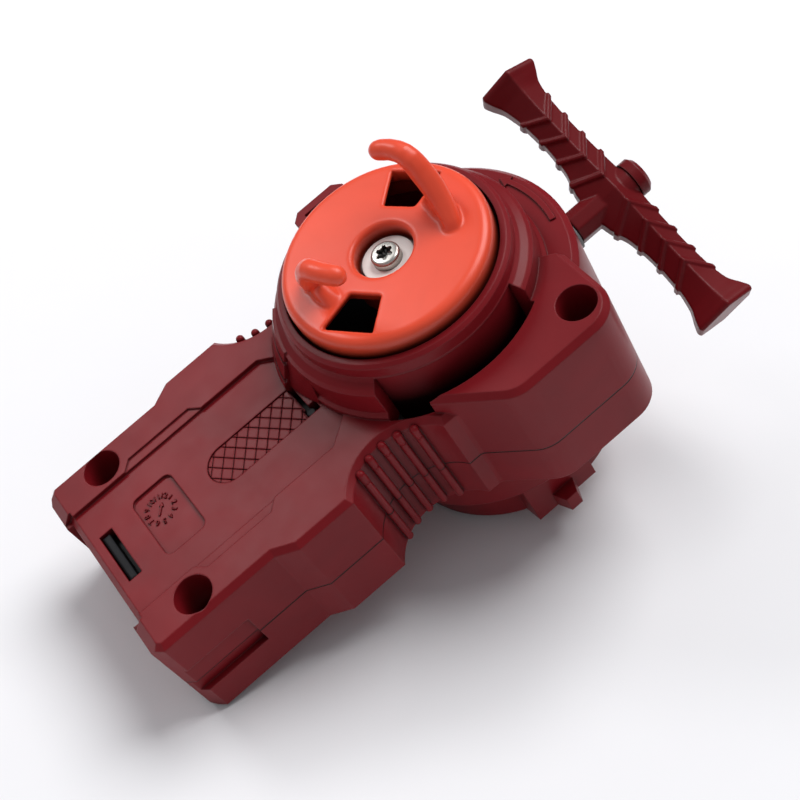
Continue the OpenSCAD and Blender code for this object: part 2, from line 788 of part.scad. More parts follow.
// Two springy arms curve out from the plate to the hub's ratchet teeth
module clutch_arm() {
    in_r = clutch_r - clutch_arm_w;
    span = round(90 / ratchet_pitch) * ratchet_pitch - clutch_tip_gap;
    steps = [for (i = [0 : clutch_step_count]) i / clutch_step_count];
    mid = [for (t = steps) in_r + (clutch_tip_r - in_r) * t];
    way = [for (t = steps) [cos(span * t), sin(span * t)]];
    linear_extrude(clutch_t) polygon(concat(
        [for (i = [0 : clutch_step_count]) (mid[i] - clutch_arm_w / 2) * way[i]],
        [for (i = [clutch_step_count : -1 : 0]) (mid[i] + clutch_arm_w / 2) * way[i]]));
}

module clutch_plate() {
    color("gray") translate([0, 0, reel_top]) difference() {
        union() {
            cylinder(r = clutch_r, h = clutch_t);
            for (turn = [0, 180]) rotate([0, 0, turn]) clutch_arm();
        }
        translate([0, 0, -cut]) cylinder(r = axle_r + run_fit, h = clutch_t + cut + cut);
    }
}

module ratchet_tooth() {
    root_r = ratchet_r + hub_wall / 2;
    slope = ratchet_pitch * tooth_share;
    linear_extrude(hub_plate_z0 + fixed_fit - hub_z0)
        polygon([[root_r, 0], [ratchet_r - tooth_depth, 0], root_r * [cos(slope), sin(slope)]]);
}

module drive_hub() {
    color("black") difference() {
        union() {
            difference() {
                translate([0, 0, hub_z0]) cylinder(r = hub_r, h = hub_plate_z0 + hub_plate_t - hub_z0);
                translate([0, 0, hub_z0 - cut]) cylinder(r = ratchet_r, h = hub_plate_z0 - hub_z0 + cut);
            }
            for (i = [0 : ratchet_count - 1]) translate([0, 0, hub_z0])
                rotate([0, 0, i * ratchet_pitch]) ratchet_tooth();
            translate([0, 0, hub_plate_z0]) cylinder(r = boss_r, h = boss_top - hub_plate_z0, $fn = 6);
        }
        translate([0, 0, hub_z0]) cylinder(r = axle_r + run_fit, h = bore_top - hub_z0);
        translate([0, 0, bore_top]) cylinder(r = end_screw_r + fixed_fit, h = boss_top - bore_top + cut);
    }
}

// One hook: a leaning foot and a finger that curves over the window
function hook_at(turn, z) = [hook_circle_r * cos(turn), hook_circle_r * sin(turn), z];

module hook() {
    finger_z = disc_z + hook_rise;
    elbow_d = hook_d * hook_elbow_share;
    foot_d = hook_d * hook_foot_share;
    knuckle_z = finger_z + hook_d * hook_lift_share;
    hull() {
        for (turn = [hook_foot_from, hook_foot_to])
            translate(hook_at(turn, disc_z - disc_plate / 2))
                cylinder(d = foot_d, h = disc_plate / 2, $fn = 24);
        translate(hook_at(hook_elbow, finger_z)) sphere(d = elbow_d, $fn = 24);
    }
    hull() {
        translate(hook_at(hook_elbow, finger_z)) sphere(d = elbow_d, $fn = 24);
        translate(hook_at(hook_knuckle, knuckle_z)) sphere(d = elbow_d, $fn = 24);
    }
    hull() {
        translate(hook_at(hook_knuckle, knuckle_z)) sphere(d = elbow_d, $fn = 24);
        translate(hook_at(hook_tip, finger_z)) sphere(d = hook_d, $fn = 24);
    }
}

module hook_disc() {
    socket_r = boss_r + pass_gap;
    boss_out_r = socket_r + disc_boss_wall;
    in_r = disc_r - disc_wall;
    plate_z0 = disc_z - disc_plate;
    rim = [for (i = [0 : disc_round_steps]) let(a = 90 * i / disc_round_steps)
        [disc_r - disc_round + disc_round * cos(a), disc_z - disc_round + disc_round * sin(a)]];
    color("orangered") {
        difference() {
            rotate_extrude() polygon(concat([[end_screw_r + pass_gap, boss_top - boss_socket_l],
                [boss_out_r, boss_top - boss_socket_l], [boss_out_r, plate_z0], [in_r, plate_z0],
                [in_r, disc_z - disc_depth], [disc_r, disc_z - disc_depth]], rim,
                [[well_r, disc_z], [well_r, well_z], [end_screw_r + pass_gap, well_z]]));
            translate([0, 0, boss_top - boss_socket_l - cut])
                cylinder(r = socket_r, h = boss_socket_l + cut, $fn = 6);
            for (turn = [0, 180]) rotate([0, 0, turn]) translate([0, 0, plate_z0 - cut])
                linear_extrude(disc_plate + cut + cut) polygon(concat(
                    [for (a = window_in_turns) window_r0 * [cos(a), sin(a)]],
                    [for (i = [1, 0]) let(a = window_out_turns[i]) window_r1 * [cos(a), sin(a)]]));
        }
        for (turn = [0, 180]) rotate([0, 0, turn]) hook();
    }
}

module centre_washer() {
    color("white") translate([0, 0, well_z]) difference() {
        cylinder(r = end_washer_r, h = end_washer_t);
        translate([0, 0, -cut]) cylinder(r = end_screw_r + fixed_fit, h = end_washer_t + cut + cut);
    }
}

module centre_screw() {
    color("silver") translate([0, 0, well_z + end_washer_t]) end_screw();
}

// A flanged bush in the seam that the string runs through
module string_guide() {
    color("gray") translate([guide_x, 0, seam_z]) rotate([0, 90, 0]) difference() {
        union() {
            translate([0, 0, -guide_l]) cylinder(r = guide_r, h = guide_l + guide_flange_t);
            cylinder(r = guide_flange_r, h = guide_flange_t);
        }
        translate([0, 0, -guide_l - cut])
            cylinder(r = guide_bore_r, h = guide_l + guide_flange_t + cut + cut);
    }
}

// The string leaves its winding along a tangent, passes the guide and ends in the handle
function string_ring(p, heading, spread) =
    [for (j = [0 : string_sides - 1]) let(b = 360 * j / string_sides, out = string_r * spread * sin(b))
        [p[0] + out * sin(heading), p[1] - out * cos(heading), seam_z + string_r * cos(b)]];

module string_lead() {
    bend = [guide_x - guide_l, 0];
    leave_r = reel_core_r + string_d + string_r + pass_gap;
    turn = acos(leave_r / bend[0]);
    start = leave_r * [cos(turn), -sin(turn)];
    way = bend - start;
    heading = atan2(way[1], way[0]);
    color("gainsboro") loft([string_ring(start, heading, 1),
        string_ring(bend, heading / 2, 1 / cos(heading / 2)), string_ring([bar_x - knot_r, 0], 0, 1)]);
}

module string_knot() {
    color("gainsboro") translate([bar_x, 0, seam_z]) sphere(r = knot_r);
}

// Sections of the handle's bar: a ridge above and below, and blunt edges towards and away from the housing.
// A chevron's edges lie nearer to the bar's end than its ridges do.
function bar_high(s, grow) = lookup(s, bar_height_shares) * bar_end_w / 2 * bar_end_h_share + grow;
function bar_ring(s, chevron, grow, side) =
    let(front_s = s + chevron * bar_rib_front_share,
        back_s = s + chevron * bar_rib_back_share,
        front = lookup(front_s, bar_front_shares) * bar_end_w / 2 + grow,
        back = lookup(back_s, bar_back_shares) * bar_end_w / 2 + grow,
        high = bar_high(s, grow),
        front_edge = bar_high(front_s, grow) * bar_edge_share,
        back_edge = bar_high(back_s, grow) * bar_edge_share,
        reach = side * bar_half)
    [[0, s * reach, high], [back, back_s * reach, back_edge], [back, back_s * reach, -back_edge],
        [0, s * reach, -high], [-front, front_s * reach, -front_edge], [-front, front_s * reach, front_edge]];

// A closed loft through rings that have the same number of points
module loft(rings) {
    n = len(rings[0]);
    last = len(rings) - 1;
    polyhedron(points = [for (ring = rings) for (p = ring) p], faces = concat(
        [for (j = [1 : n - 2]) [0, j, j + 1]],
        [for (i = [0 : last - 1], j = [0 : n - 1]) each [
            [i * n + j, (i + 1) * n + j, i * n + (j + 1) % n],
            [i * n + (j + 1) % n, (i + 1) * n + j, (i + 1) * n + (j + 1) % n]]],
        [for (j = [1 : n - 2]) [last * n, last * n + j + 1, last * n + j]]));
}

module handle_bar() {
    stations = [for (row = bar_front_shares) row[0]];
    count = len(stations);
    rib_share = bar_rib_w / bar_l;
    loft(concat([for (i = [count - 1 : -1 : 1]) bar_ring(stations[i], 0, 0, -1)],
        [for (s = stations) bar_ring(s, 0, 0, 1)]));
    for (side = [-1, 1], i = [0 : bar_rib_count - 1]) {
        s = bar_rib_from_share + (bar_rib_to_share - bar_rib_from_share) * i / (bar_rib_count - 1);
        ends = side > 0 ? [s - rib_share, s + rib_share] : [s + rib_share, s - rib_share];
        loft([for (t = ends) bar_ring(t, 1, bar_rib_h, side)]);
    }
}

module pull_handle() {
    color("firebrick") translate([0, 0, seam_z]) rotate([handle_turn, 0, 0]) difference() {
        union() {
            translate([bar_x, 0, 0]) handle_bar();
            translate([bar_x, 0, 0]) rotate([0, 90, 0])
                cylinder(r = plug_r - pass_gap, h = lookup(0, bar_back_shares) * bar_end_w / 2);
            translate([stem_x, 0, 0]) rotate([0, 90, 0]) rotate([0, 0, 180 / stem_sides])
                cylinder(d = stem_w, h = bar_x - stem_x - stem_root, $fn = stem_sides);
        }
        translate([stem_x - cut, 0, 0]) rotate([0, 90, 0])
            cylinder(r = guide_bore_r, h = bar_x - stem_x + cut);
        translate([bar_x - knot_r - pass_gap, 0, 0]) rotate([0, 90, 0])
            cylinder(r = pocket_r, h = bar_end_w);
    }
}

module handle_plug() {
    plug_x = bar_x + lookup(0, bar_back_shares) * bar_end_w / 2;
    color("firebrick") translate([0, 0, seam_z]) rotate([0, 90, 0]) {
        translate([0, 0, bar_x + knot_r + pass_gap])
            cylinder(r = pocket_r - fixed_fit, h = plug_x - bar_x - knot_r - pass_gap + fixed_fit);
        translate([0, 0, plug_x]) chamfered_round(plug_r, 0, plug_out, plug_chamfer);
    }
}

module lock_bar() {
    tail_x = lock_end_x - lock_end_l;
    nose_x = strip_x + nose_in;
    color("black") {
        translate([-lock_end_x, -lock_end_w / 2, lock_z0]) cube([lock_end_l, lock_end_w, lock_t]);
        translate([-tail_x, -lock_w / 2, lock_z0]) cube([tail_x - nose_x, lock_w, lock_t]);
        translate([-nose_x, -lock_w / 2, lock_z0]) cube([nose_d / 2, lock_w, lock_t]);
        translate([-nose_x, -nose_y + nose_d / 2, lock_z0])
            cylinder(d = nose_d, h = panel_z - strip_depth - nose_sink - lock_z0);
        translate([-tail_x - lock_tab_t, -lock_w / 2, lock_z0 - lock_tab_h])
            cube([lock_tab_t, lock_w, lock_tab_h]);
    }
}

module lock_spring() {
    x0 = -lock_end_x + lock_end_l + fixed_fit;
    x1 = -bridge_x - fixed_fit;
    run = x1 - x0 - coil_wire_r - coil_wire_r;
    coil_z = lock_z0 - lock_gap - lock_tab_h / 2;
    last = coil_turns * coil_steps;
    color("silver") translate([x0 + coil_wire_r, 0, coil_z]) loft([for (i = [0 : last])
        let(a = 360 * i / coil_steps)
        [for (j = [0 : coil_sides - 1]) let(b = -360 * j / coil_sides, r = coil_r + coil_wire_r * cos(b))
            [run * i / last + coil_wire_r * sin(b), r * cos(a), r * sin(a)]]]);
}

front_housing();
rear_housing();
rear_cap();
selector_dial();
housing_screws();
main_axle();
thrust_washer();
power_spring();
string_reel();
wound_string();
clutch_plate();
drive_hub();
hook_disc();
centre_washer();
centre_screw();
string_guide();
string_lead();
string_knot();
pull_handle();
handle_plug();
lock_bar();
lock_spring();
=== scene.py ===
# %% [markdown]
# # A pull-string launcher for a spinning top
# The real launcher is a hand grip of maroon plastic with a reel of string inside. The hooked disc in
# its tower holds the top, and the handle at its nose pulls the string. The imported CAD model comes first,
# as a fixed frame, and each piece made here is added in that frame, in metres.

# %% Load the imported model
import math

import bmesh
import bpy
from mathutils import Matrix, Vector


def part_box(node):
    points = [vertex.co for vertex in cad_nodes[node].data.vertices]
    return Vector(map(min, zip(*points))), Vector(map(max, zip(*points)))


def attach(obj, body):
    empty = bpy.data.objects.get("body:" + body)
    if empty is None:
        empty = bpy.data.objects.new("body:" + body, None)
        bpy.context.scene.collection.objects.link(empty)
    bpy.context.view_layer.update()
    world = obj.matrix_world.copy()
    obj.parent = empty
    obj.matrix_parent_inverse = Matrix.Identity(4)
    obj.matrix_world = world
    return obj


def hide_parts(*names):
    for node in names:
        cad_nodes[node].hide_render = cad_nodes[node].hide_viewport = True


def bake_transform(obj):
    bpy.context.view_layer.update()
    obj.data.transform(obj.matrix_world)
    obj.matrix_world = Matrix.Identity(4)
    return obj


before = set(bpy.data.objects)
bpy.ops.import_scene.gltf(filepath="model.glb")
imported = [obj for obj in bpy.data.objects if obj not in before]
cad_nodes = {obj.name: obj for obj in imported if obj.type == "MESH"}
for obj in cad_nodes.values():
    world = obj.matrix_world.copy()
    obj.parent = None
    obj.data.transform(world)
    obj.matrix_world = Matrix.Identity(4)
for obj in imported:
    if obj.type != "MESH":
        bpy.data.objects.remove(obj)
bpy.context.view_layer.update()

MM = 0.001


def new_object(name, data):
    made = bpy.data.objects.new(name, data)
    bpy.context.scene.collection.objects.link(made)
    return made


# %% [markdown]
# ## Camera
# The photograph looks down on the launcher from over its side. A camera can be aimed by hand or fitted
# to known points. Here its place and its two axes were fitted to edges of the housing, so the render and
# the photograph share one perspective.

# %% Make the camera
camera_place = Vector((-30.86, -180.09, 243.99)) * MM
camera_back = Vector((-0.0672, -0.6315, 0.7724)).normalized()
picture_up = Vector((0.6499, 0.5597, 0.5141))
camera_right = picture_up.cross(camera_back).normalized()
camera_up = camera_back.cross(camera_right)
camera_data = bpy.data.cameras.new("photo_camera")
camera_data.sensor_width = 36.0
camera_data.lens = 74.94
camera_data.clip_start = 0.01
camera = new_object("photo_camera", camera_data)
camera_axes = Matrix((camera_right, camera_up, camera_back)).transposed().to_4x4()
camera.matrix_world = Matrix.Translation(camera_place) @ camera_axes
bpy.context.scene.camera = camera
print("camera", round(camera_place.length / MM), "mm from the origin")

# %% [markdown]
# ## Node helpers
# Materials and Geometry Nodes trees are both made of nodes with sockets. The first helper adds a node,
# sets the sockets that have a constant and links those that take another node's output. The others add
# what materials need again and again: an output, a ramp of two tones, a change of range and a product of
# colours.


# %% Helpers that add nodes
def add(tree, kind, sockets=None, **settings):
    made = tree.nodes.new(kind)
    for key, value in settings.items():
        setattr(made, key, value)
    for key, value in (sockets or {}).items():
        if isinstance(value, bpy.types.NodeSocket):
            tree.links.new(value, made.inputs[key])
        else:
            made.inputs[key].default_value = value
    return made


def empty_material(name):
    material = bpy.data.materials.new(name)
    material.use_nodes = True
    tree = material.node_tree
    tree.nodes.clear()
    out = tree.nodes.new("ShaderNodeOutputMaterial")
    return material, tree, out


def two_tones(tree, factor, low, high, low_at=0.0, high_at=1.0):
    ramp = add(tree, "ShaderNodeValToRGB", {"Fac": factor})
    for element, at, colour in zip(ramp.color_ramp.elements, (low_at, high_at), (low, high)):
        element.position = at
        element.color = (*colour, 1)
    return ramp.outputs["Color"]


def remap(tree, value, span, result, **settings):
    ends = {"From Min": span[0], "From Max": span[1], "To Min": result[0], "To Max": result[1]}
    return add(tree, "ShaderNodeMapRange", {"Value": value, **ends}, **settings).outputs[0]


def multiplied(tree, colour, factor):
    return add(tree, "ShaderNodeMix", {0: 1.0, 6: colour, 7: factor}, data_type="RGBA",
               blend_type="MULTIPLY").outputs[2]


def scaled(colour, share):
    return [c * share for c in colour]


print("node helpers ready")

# %% [markdown]
# ## Floor, light and world
# The launcher lies on a white table, tipped so that it rests on the dial's edge and on the end of its
# grip. The CAD frame keeps the housing level, so here the table is tipped instead. Seen from below the
# table is clear, so that other views aren't hidden by it.

# %% Lay the table
table_touch = Vector((-17.6, 0.0, 0.3)) * MM
table_normal = Vector((0.334, 0.0, 0.9425)).normalized()
table_across = Vector((0.0, 1.0, 0.0))
table_along = table_across.cross(table_normal)
table_half = 2.0
table_mesh = bpy.data.meshes.new("table")
table_corners = [(-1, -1), (1, -1), (1, 1), (-1, 1)]
table_mesh.from_pydata([table_touch + table_half * (a * table_along + b * table_across)
                        for a, b in table_corners], [], [(0, 1, 2, 3)])
table = new_object("table", table_mesh)

table_paint, tree, out = empty_material("table_paint")
place = add(tree, "ShaderNodeTexCoord")
speck = add(tree, "ShaderNodeTexNoise", {"Vector": place.outputs["Object"], "Scale": 40.0, "Detail": 3.0})
table_tone = two_tones(tree, speck.outputs["Fac"], low=(0.83, 0.83, 0.85), high=(0.85, 0.85, 0.87))
paint = add(tree, "ShaderNodeBsdfDiffuse", {"Color": table_tone})
side = add(tree, "ShaderNodeNewGeometry")
clear = add(tree, "ShaderNodeBsdfTransparent")
shown = add(tree, "ShaderNodeMixShader", {0: side.outputs["Backfacing"], 1: paint.outputs[0],
                                          2: clear.outputs[0]})
tree.links.new(shown.outputs[0], out.inputs["Surface"])
table_mesh.materials.append(table_paint)
print("table tipped by", round(math.degrees(table_normal.angle(Vector((0, 0, 1)))), 1), "degrees")


# %% Hang the lamps and light the world
def soft_lamp(name, towards, distance, size, power):
    data = bpy.data.lights.new(name, "AREA")
    data.shape = "DISK"
    data.size = size
    data.energy = power
    lamp = new_object(name, data)
    way = Vector(towards).normalized()
    turn = way.to_track_quat("Z", "Y").to_matrix().to_4x4()
    lamp.matrix_world = Matrix.Translation(way * distance) @ turn


soft_lamp("right_box", towards=(0.7, 0.1, 0.7), distance=1.6, size=1.2, power=23.0)
soft_lamp("back_panel", towards=(-0.06, 0.55, 0.7), distance=0.89, size=0.25, power=1.4)

world = bpy.data.worlds.new("studio")
bpy.context.scene.world = world
world.use_nodes = True
tree = world.node_tree
tree.nodes.clear()
out = tree.nodes.new("ShaderNodeOutputWorld")
way = add(tree, "ShaderNodeTexCoord")
height = add(tree, "ShaderNodeSeparateXYZ", {0: way.outputs["Generated"]})
wall_heights = (0.1, 0.4)
wall_strengths = (0.1, 0.38)
walls = remap(tree, height.outputs["Z"], wall_heights, wall_strengths, interpolation_type="SMOOTHSTEP")
room = add(tree, "ShaderNodeBackground", {"Color": (0.97, 0.97, 1.0, 1), "Strength": walls})
tree.links.new(room.outputs[0], out.inputs["Surface"])
bpy.context.scene.view_settings.view_transform = "Standard"

# %% [markdown]
# ## Plastics
# Every shell of the launcher is injection-moulded. Such plastic isn't one flat colour: it has a fine
# spark-eroded grain, cloudy flow marks a finger wide and patches polished by hands. Its edges are paler,
# partly from wear and partly as a painted highlight. A Bevel node rounds the sharp CAD edges for the
# light, and also tells where an edge is. Ambient Occlusion finds the nooks and darkens them as painted
# shade.
# Dust darkens the joint between the two halves, and painted shade darkens the deep slot beside the tower
# and the foot of the disc's rim.


# %% A moulded plastic
edge_round = 0.35 * MM
edge_likeness = (0.995, 0.9)
edge_paling = 0.25
nook_reach = 2.5 * MM
nook_range = (0.25, 0.85)
polish_down, polish_up = 0.02, 0.025


def moulded_plastic(name, colour, roughness, gloss, grain, relief, cloud, edge_wear_and_highlight, dimmed=None, nook_shade_floor=0.25):
    material, tree, out = empty_material(name)
    place = add(tree, "ShaderNodeTexCoord").outputs["Object"]
    flow = add(tree, "ShaderNodeTexNoise", {"Vector": place, "Scale": 70.0, "Detail": 4.0,
                                            "Distortion": 0.6})
    skin = two_tones(tree, flow.outputs["Fac"], scaled(colour, 1 - cloud), scaled(colour, 1 + cloud),
                     low_at=0.3, high_at=0.7)
    soft_edge = add(tree, "ShaderNodeBevel", {"Radius": edge_round}, samples=6).outputs[0]
    flat = add(tree, "ShaderNodeNewGeometry").outputs["Normal"]
    # Paler edges: partly wear from rubbing and partly a painted highlight along every edge the Bevel node
    # finds.
    likeness = add(tree, "ShaderNodeVectorMath", {0: soft_edge, 1: flat}, operation="DOT_PRODUCT")
    edge = remap(tree, likeness.outputs["Value"], edge_likeness, (0.0, edge_wear_and_highlight))
    pale_edge_colour = (*[c + (1 - c) * edge_paling for c in colour], 1)
    skin = add(tree, "ShaderNodeMix", {0: edge, 6: skin, 7: pale_edge_colour}, data_type="RGBA").outputs[2]
    # Painted shade: Ambient Occlusion darkens nooks, recesses and concave edges.
    nook = add(tree, "ShaderNodeAmbientOcclusion", {"Distance": nook_reach}, samples=6)
    skin = multiplied(tree, skin, remap(tree, nook.outputs["AO"], nook_range, (nook_shade_floor, 1.0)))
    if dimmed:
        level = add(tree, "ShaderNodeSeparateXYZ", {0: place}).outputs["Z"]
        skin = multiplied(tree, skin, dimmed(tree, level))
    hands = add(tree, "ShaderNodeTexNoise", {"Vector": place, "Scale": 260.0, "Detail": 5.0})
    polish = remap(tree, hands.outputs["Fac"], (0.3, 0.7),
                   (roughness - polish_down, roughness + polish_up))
    spark = add(tree, "ShaderNodeTexNoise", {"Vector": place, "Scale": 1.0 / grain, "Detail": 2.0})
    bump = add(tree, "ShaderNodeBump", {"Strength": 0.35, "Distance": relief,
                                        "Height": spark.outputs["Fac"], "Normal": soft_edge})
    surface = add(tree, "ShaderNodeBsdfPrincipled", {"Base Color": skin, "Roughness": polish,
                                                     "Specular IOR Level": gloss,
                                                     "Normal": bump.outputs[0]})
    tree.links.new(surface.outputs[0], out.inputs["Surface"])
    return material


print("moulded plastic ready, with edges rounded by", round(edge_round / MM, 2), "mm")

# %% Shades that change with height
seam_z, seam_half, seam_fade, seam_dark = 28.1, 0.1, 0.22, 0.06
slot_low_z, slot_high_z, slot_dark = 41.5, 48.6, 0.03
rim_low_z, rim_high_z, rim_dark = 52.0, 54.8, 0.22


def seam_line(tree, level):
    off = add(tree, "ShaderNodeMath", {0: level, 1: seam_z * MM}, operation="SUBTRACT")
    gap = add(tree, "ShaderNodeMath", {0: off.outputs[0]}, operation="ABSOLUTE")
    return remap(tree, gap.outputs[0], (seam_half * MM, seam_fade * MM), (seam_dark, 1.0))


# Painted shade: darker towards the floor of the deep slot beside the tower.
def deep_shade(tree, level):
    return remap(tree, level, (slot_low_z * MM, slot_high_z * MM), (slot_dark, 1.0))


# Painted shade: the disc's outer rim and its well get darker towards their foot.
def rim_shade(tree, level):
    return remap(tree, level, (rim_low_z * MM, rim_high_z * MM), (rim_dark, 1.0))


print("the seam is drawn", round(2 * seam_half, 2), "mm wide")

# %% Mix the plastics
maroon_colour = (0.182, 0.0075, 0.0115)
satin = {"roughness": 0.34, "grain": 0.4 * MM, "relief": 0.02 * MM, "cloud": 0.1, "edge_wear_and_highlight": 0.06}
maroon = moulded_plastic("maroon_satin", maroon_colour, gloss=0.14, **satin)
handle_maroon = moulded_plastic("maroon_handle", (0.125, 0.005, 0.0075), roughness=0.32, gloss=0.15,
                                grain=0.5 * MM, relief=0.015 * MM, cloud=0.1, edge_wear_and_highlight=0.15)
shell_maroon = moulded_plastic("maroon_shell", maroon_colour, gloss=0.15, dimmed=seam_line, **satin)
trench_maroon = moulded_plastic("maroon_trench", maroon_colour, roughness=0.5, gloss=0.1, grain=0.4 * MM,
                                relief=0.02 * MM, cloud=0.1, edge_wear_and_highlight=0.0, dimmed=deep_shade)
orange_red = moulded_plastic("orange_red_gloss", (0.8, 0.074, 0.03), roughness=0.33, gloss=0.4,
                             grain=0.6 * MM, relief=0.012 * MM, cloud=0.05, edge_wear_and_highlight=0.08, dimmed=rim_shade)
black = moulded_plastic("black_satin", (0.01, 0.01, 0.012), roughness=0.42, gloss=0.12, grain=0.4 * MM,
                        relief=0.02 * MM, cloud=0.15, edge_wear_and_highlight=0.08)
grey = moulded_plastic("grey_acetal", (0.23, 0.235, 0.24), roughness=0.45, gloss=0.4, grain=0.5 * MM,
                       relief=0.015 * MM, cloud=0.06, edge_wear_and_highlight=0.1)
pale = moulded_plastic("pale_nylon", (0.93, 0.9, 0.86), roughness=0.42, gloss=0.4, grain=0.5 * MM,
                       relief=0.012 * MM, cloud=0.04, edge_wear_and_highlight=0.1, nook_shade_floor=0.95)
plastics = [maroon, handle_maroon, shell_maroon, trench_maroon, orange_red, black, grey, pale]
print("plastics:", [m.name for m in plastics])

# %% [markdown]
# ## Metals and string
# The screws are zinc-plated steel: bright, with a cloudy passivation and tiny handling marks. Ambient
# Occlusion darkens the recess of the head nearly to black, as painted shade. The springs are darker rolled
# steel with lines along the strip. The string is a twisted polyester cord, so its strands show as slanted
# ridges.


# %% Plated steel and spring steel
def plated_metal(name, colour, roughness, marks):
    material, tree, out = empty_material(name)
    place = add(tree, "ShaderNodeTexCoord").outputs["Object"]
    cloud = add(tree, "ShaderNodeTexNoise", {"Vector": place, "Scale": 600.0, "Detail": 4.0})
    shade = two_tones(tree, cloud.outputs["Fac"], scaled(colour, 0.8), colour)
    # Painted shade: Ambient Occlusion darkens the head's recess and other nooks nearly to black.
    nook = add(tree, "ShaderNodeAmbientOcclusion", {"Distance": 2.0 * MM}, samples=8)
    skin = multiplied(tree, shade, remap(tree, nook.outputs["AO"], (0.35, 0.85), (0.02, 1.0)))
    lines = add(tree, "ShaderNodeMapping", {"Vector": place, "Scale": (300.0, 300.0, 9000.0)})
    drawn = add(tree, "ShaderNodeTexNoise", {"Vector": lines.outputs[0], "Scale": 1.0, "Detail": 3.0})
    polish = remap(tree, drawn.outputs["Fac"], (0.0, 1.0), (roughness - 0.06, roughness + 0.12))
    soft_edge = add(tree, "ShaderNodeBevel", {"Radius": 0.12 * MM}, samples=6)
    bump = add(tree, "ShaderNodeBump", {"Strength": marks, "Distance": 0.01 * MM,
                                        "Height": drawn.outputs["Fac"], "Normal": soft_edge.outputs[0]})
    surface = add(tree, "ShaderNodeBsdfPrincipled", {"Base Color": skin, "Metallic": 1.0,
                                                     "Roughness": polish, "Normal": bump.outputs[0]})
    tree.links.new(surface.outputs[0], out.inputs["Surface"])
    return material


zinc = plated_metal("zinc_plate", (0.58, 0.56, 0.52), roughness=0.26, marks=0.25)
spring_steel = plated_metal("blued_spring_steel", (0.3, 0.31, 0.34), roughness=0.34, marks=0.4)
print("metals:", [m.name for m in (zinc, spring_steel)])


# %% The string's fibre
def twisted_fibre(name, colour):
    material, tree, out = empty_material(name)
    place = add(tree, "ShaderNodeTexCoord").outputs["Object"]
    slant = add(tree, "ShaderNodeMapping", {"Vector": place, "Rotation": (0.5, 0.6, 0.7)})
    strands = add(tree, "ShaderNodeTexWave", {"Vector": slant.outputs[0], "Scale": 420.0,
                                              "Distortion": 1.5})
    shade = two_tones(tree, strands.outputs["Fac"], scaled(colour, 0.6), colour)
    fuzz = add(tree, "ShaderNodeTexNoise", {"Vector": place, "Scale": 3000.0, "Detail": 3.0})
    dull = remap(tree, fuzz.outputs["Fac"], (0.0, 1.0), (0.65, 0.9))
    bump = add(tree, "ShaderNodeBump", {"Strength": 0.6, "Distance": 0.08 * MM,
                                        "Height": strands.outputs["Fac"]})
    surface = add(tree, "ShaderNodeBsdfPrincipled", {"Base Color": shade, "Roughness": dull,
                                                     "Normal": bump.outputs[0]})
    tree.links.new(surface.outputs[0], out.inputs["Surface"])
    return material


cord_fibre = twisted_fibre("polyester_cord", (0.72, 0.7, 0.64))
print("fibre:", cord_fibre.name)

# %% [markdown]
# ## Finishes on the CAD pieces
# The housing halves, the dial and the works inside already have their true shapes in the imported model,
# so they stay as they are and only take a finish.

# %% Give each CAD piece its finish
finishes = {
    shell_maroon: ["front_housing", "rear_housing"],
    maroon: ["rear_cap", "selector_dial"],
    handle_maroon: ["pull_handle", "handle_plug"],
    orange_red: ["hook_disc"],
    black: ["drive_hub", "lock_bar"],
    grey: ["string_reel", "clutch_plate", "string_guide"],
    pale: ["thrust_washer", "centre_washer"],
    zinc: ["housing_screws", "main_axle", "centre_screw"],
    spring_steel: ["power_spring", "lock_spring"],
    cord_fibre: ["wound_string", "string_lead", "string_knot"],
}
for material, names in finishes.items():
    for name in names:
        cad_nodes[name].data.materials.clear()
        cad_nodes[name].data.materials.append(material)
print("finished", sum(len(names) for names in finishes.values()), "CAD pieces")

# %% [markdown]
# ## Helpers for new pieces
# New pieces are plain meshes. These helpers turn lists of points into closed solids, melt overlapping
# solids into one moulded skin, and hand the finished piece to the body that it moves with.


# %% Solids from rings of points
def lofted(rings):
    count = len(rings[0])
    points = [p for ring in rings for p in ring]
    faces = [tuple(reversed(range(count)))]
    for i in range(len(rings) - 1):
        for j in range(count):
            k = (j + 1) % count
            faces.append((i * count + j, i * count + k, (i + 1) * count + k, (i + 1) * count + j))
    faces.append(tuple((len(rings) - 1) * count + j for j in range(count)))
    return points, faces


def circle_ring(centre, across, up, radius, sides):
    turns = [2 * math.pi * j / sides for j in range(sides)]
    return [centre + radius * (math.cos(t) * across + math.sin(t) * up) for t in turns]


def tube(path, radius, sides):
    rings = []
    for i, centre in enumerate(path):
        ahead = (path[min(i + 1, len(path) - 1)] - path[max(i - 1, 0)]).normalized()
        across = ahead.cross(Vector((0, 0, 1)))
        across = across.normalized() if across.length > 0.01 else Vector((0, 1, 0))
        rings.append(circle_ring(centre, across, ahead.cross(across) * -1, radius, sides))
    return lofted(rings)


def solid_mesh(name, *solids):
    points, faces = [], []
    for solid_points, solid_faces in solids:
        faces += [tuple(k + len(points) for k in face) for face in solid_faces]
        points += [Vector(p) * MM for p in solid_points]
    mesh = bpy.data.meshes.new(name)
    mesh.from_pydata(points, [], faces)
    work = bmesh.new()
    work.from_mesh(mesh)
    bmesh.ops.recalc_face_normals(work, faces=work.faces)
    work.to_mesh(mesh)
    work.free()
    return mesh


print("solid helpers ready")


# %% Melt, cut and hand over
def evaluated(mesh, prepare):
    maker = new_object("maker", mesh)
    prepare(maker)
    depsgraph = bpy.context.evaluated_depsgraph_get()
    result = bpy.data.meshes.new_from_object(maker.evaluated_get(depsgraph), depsgraph=depsgraph)
    bpy.data.objects.remove(maker)
    return result


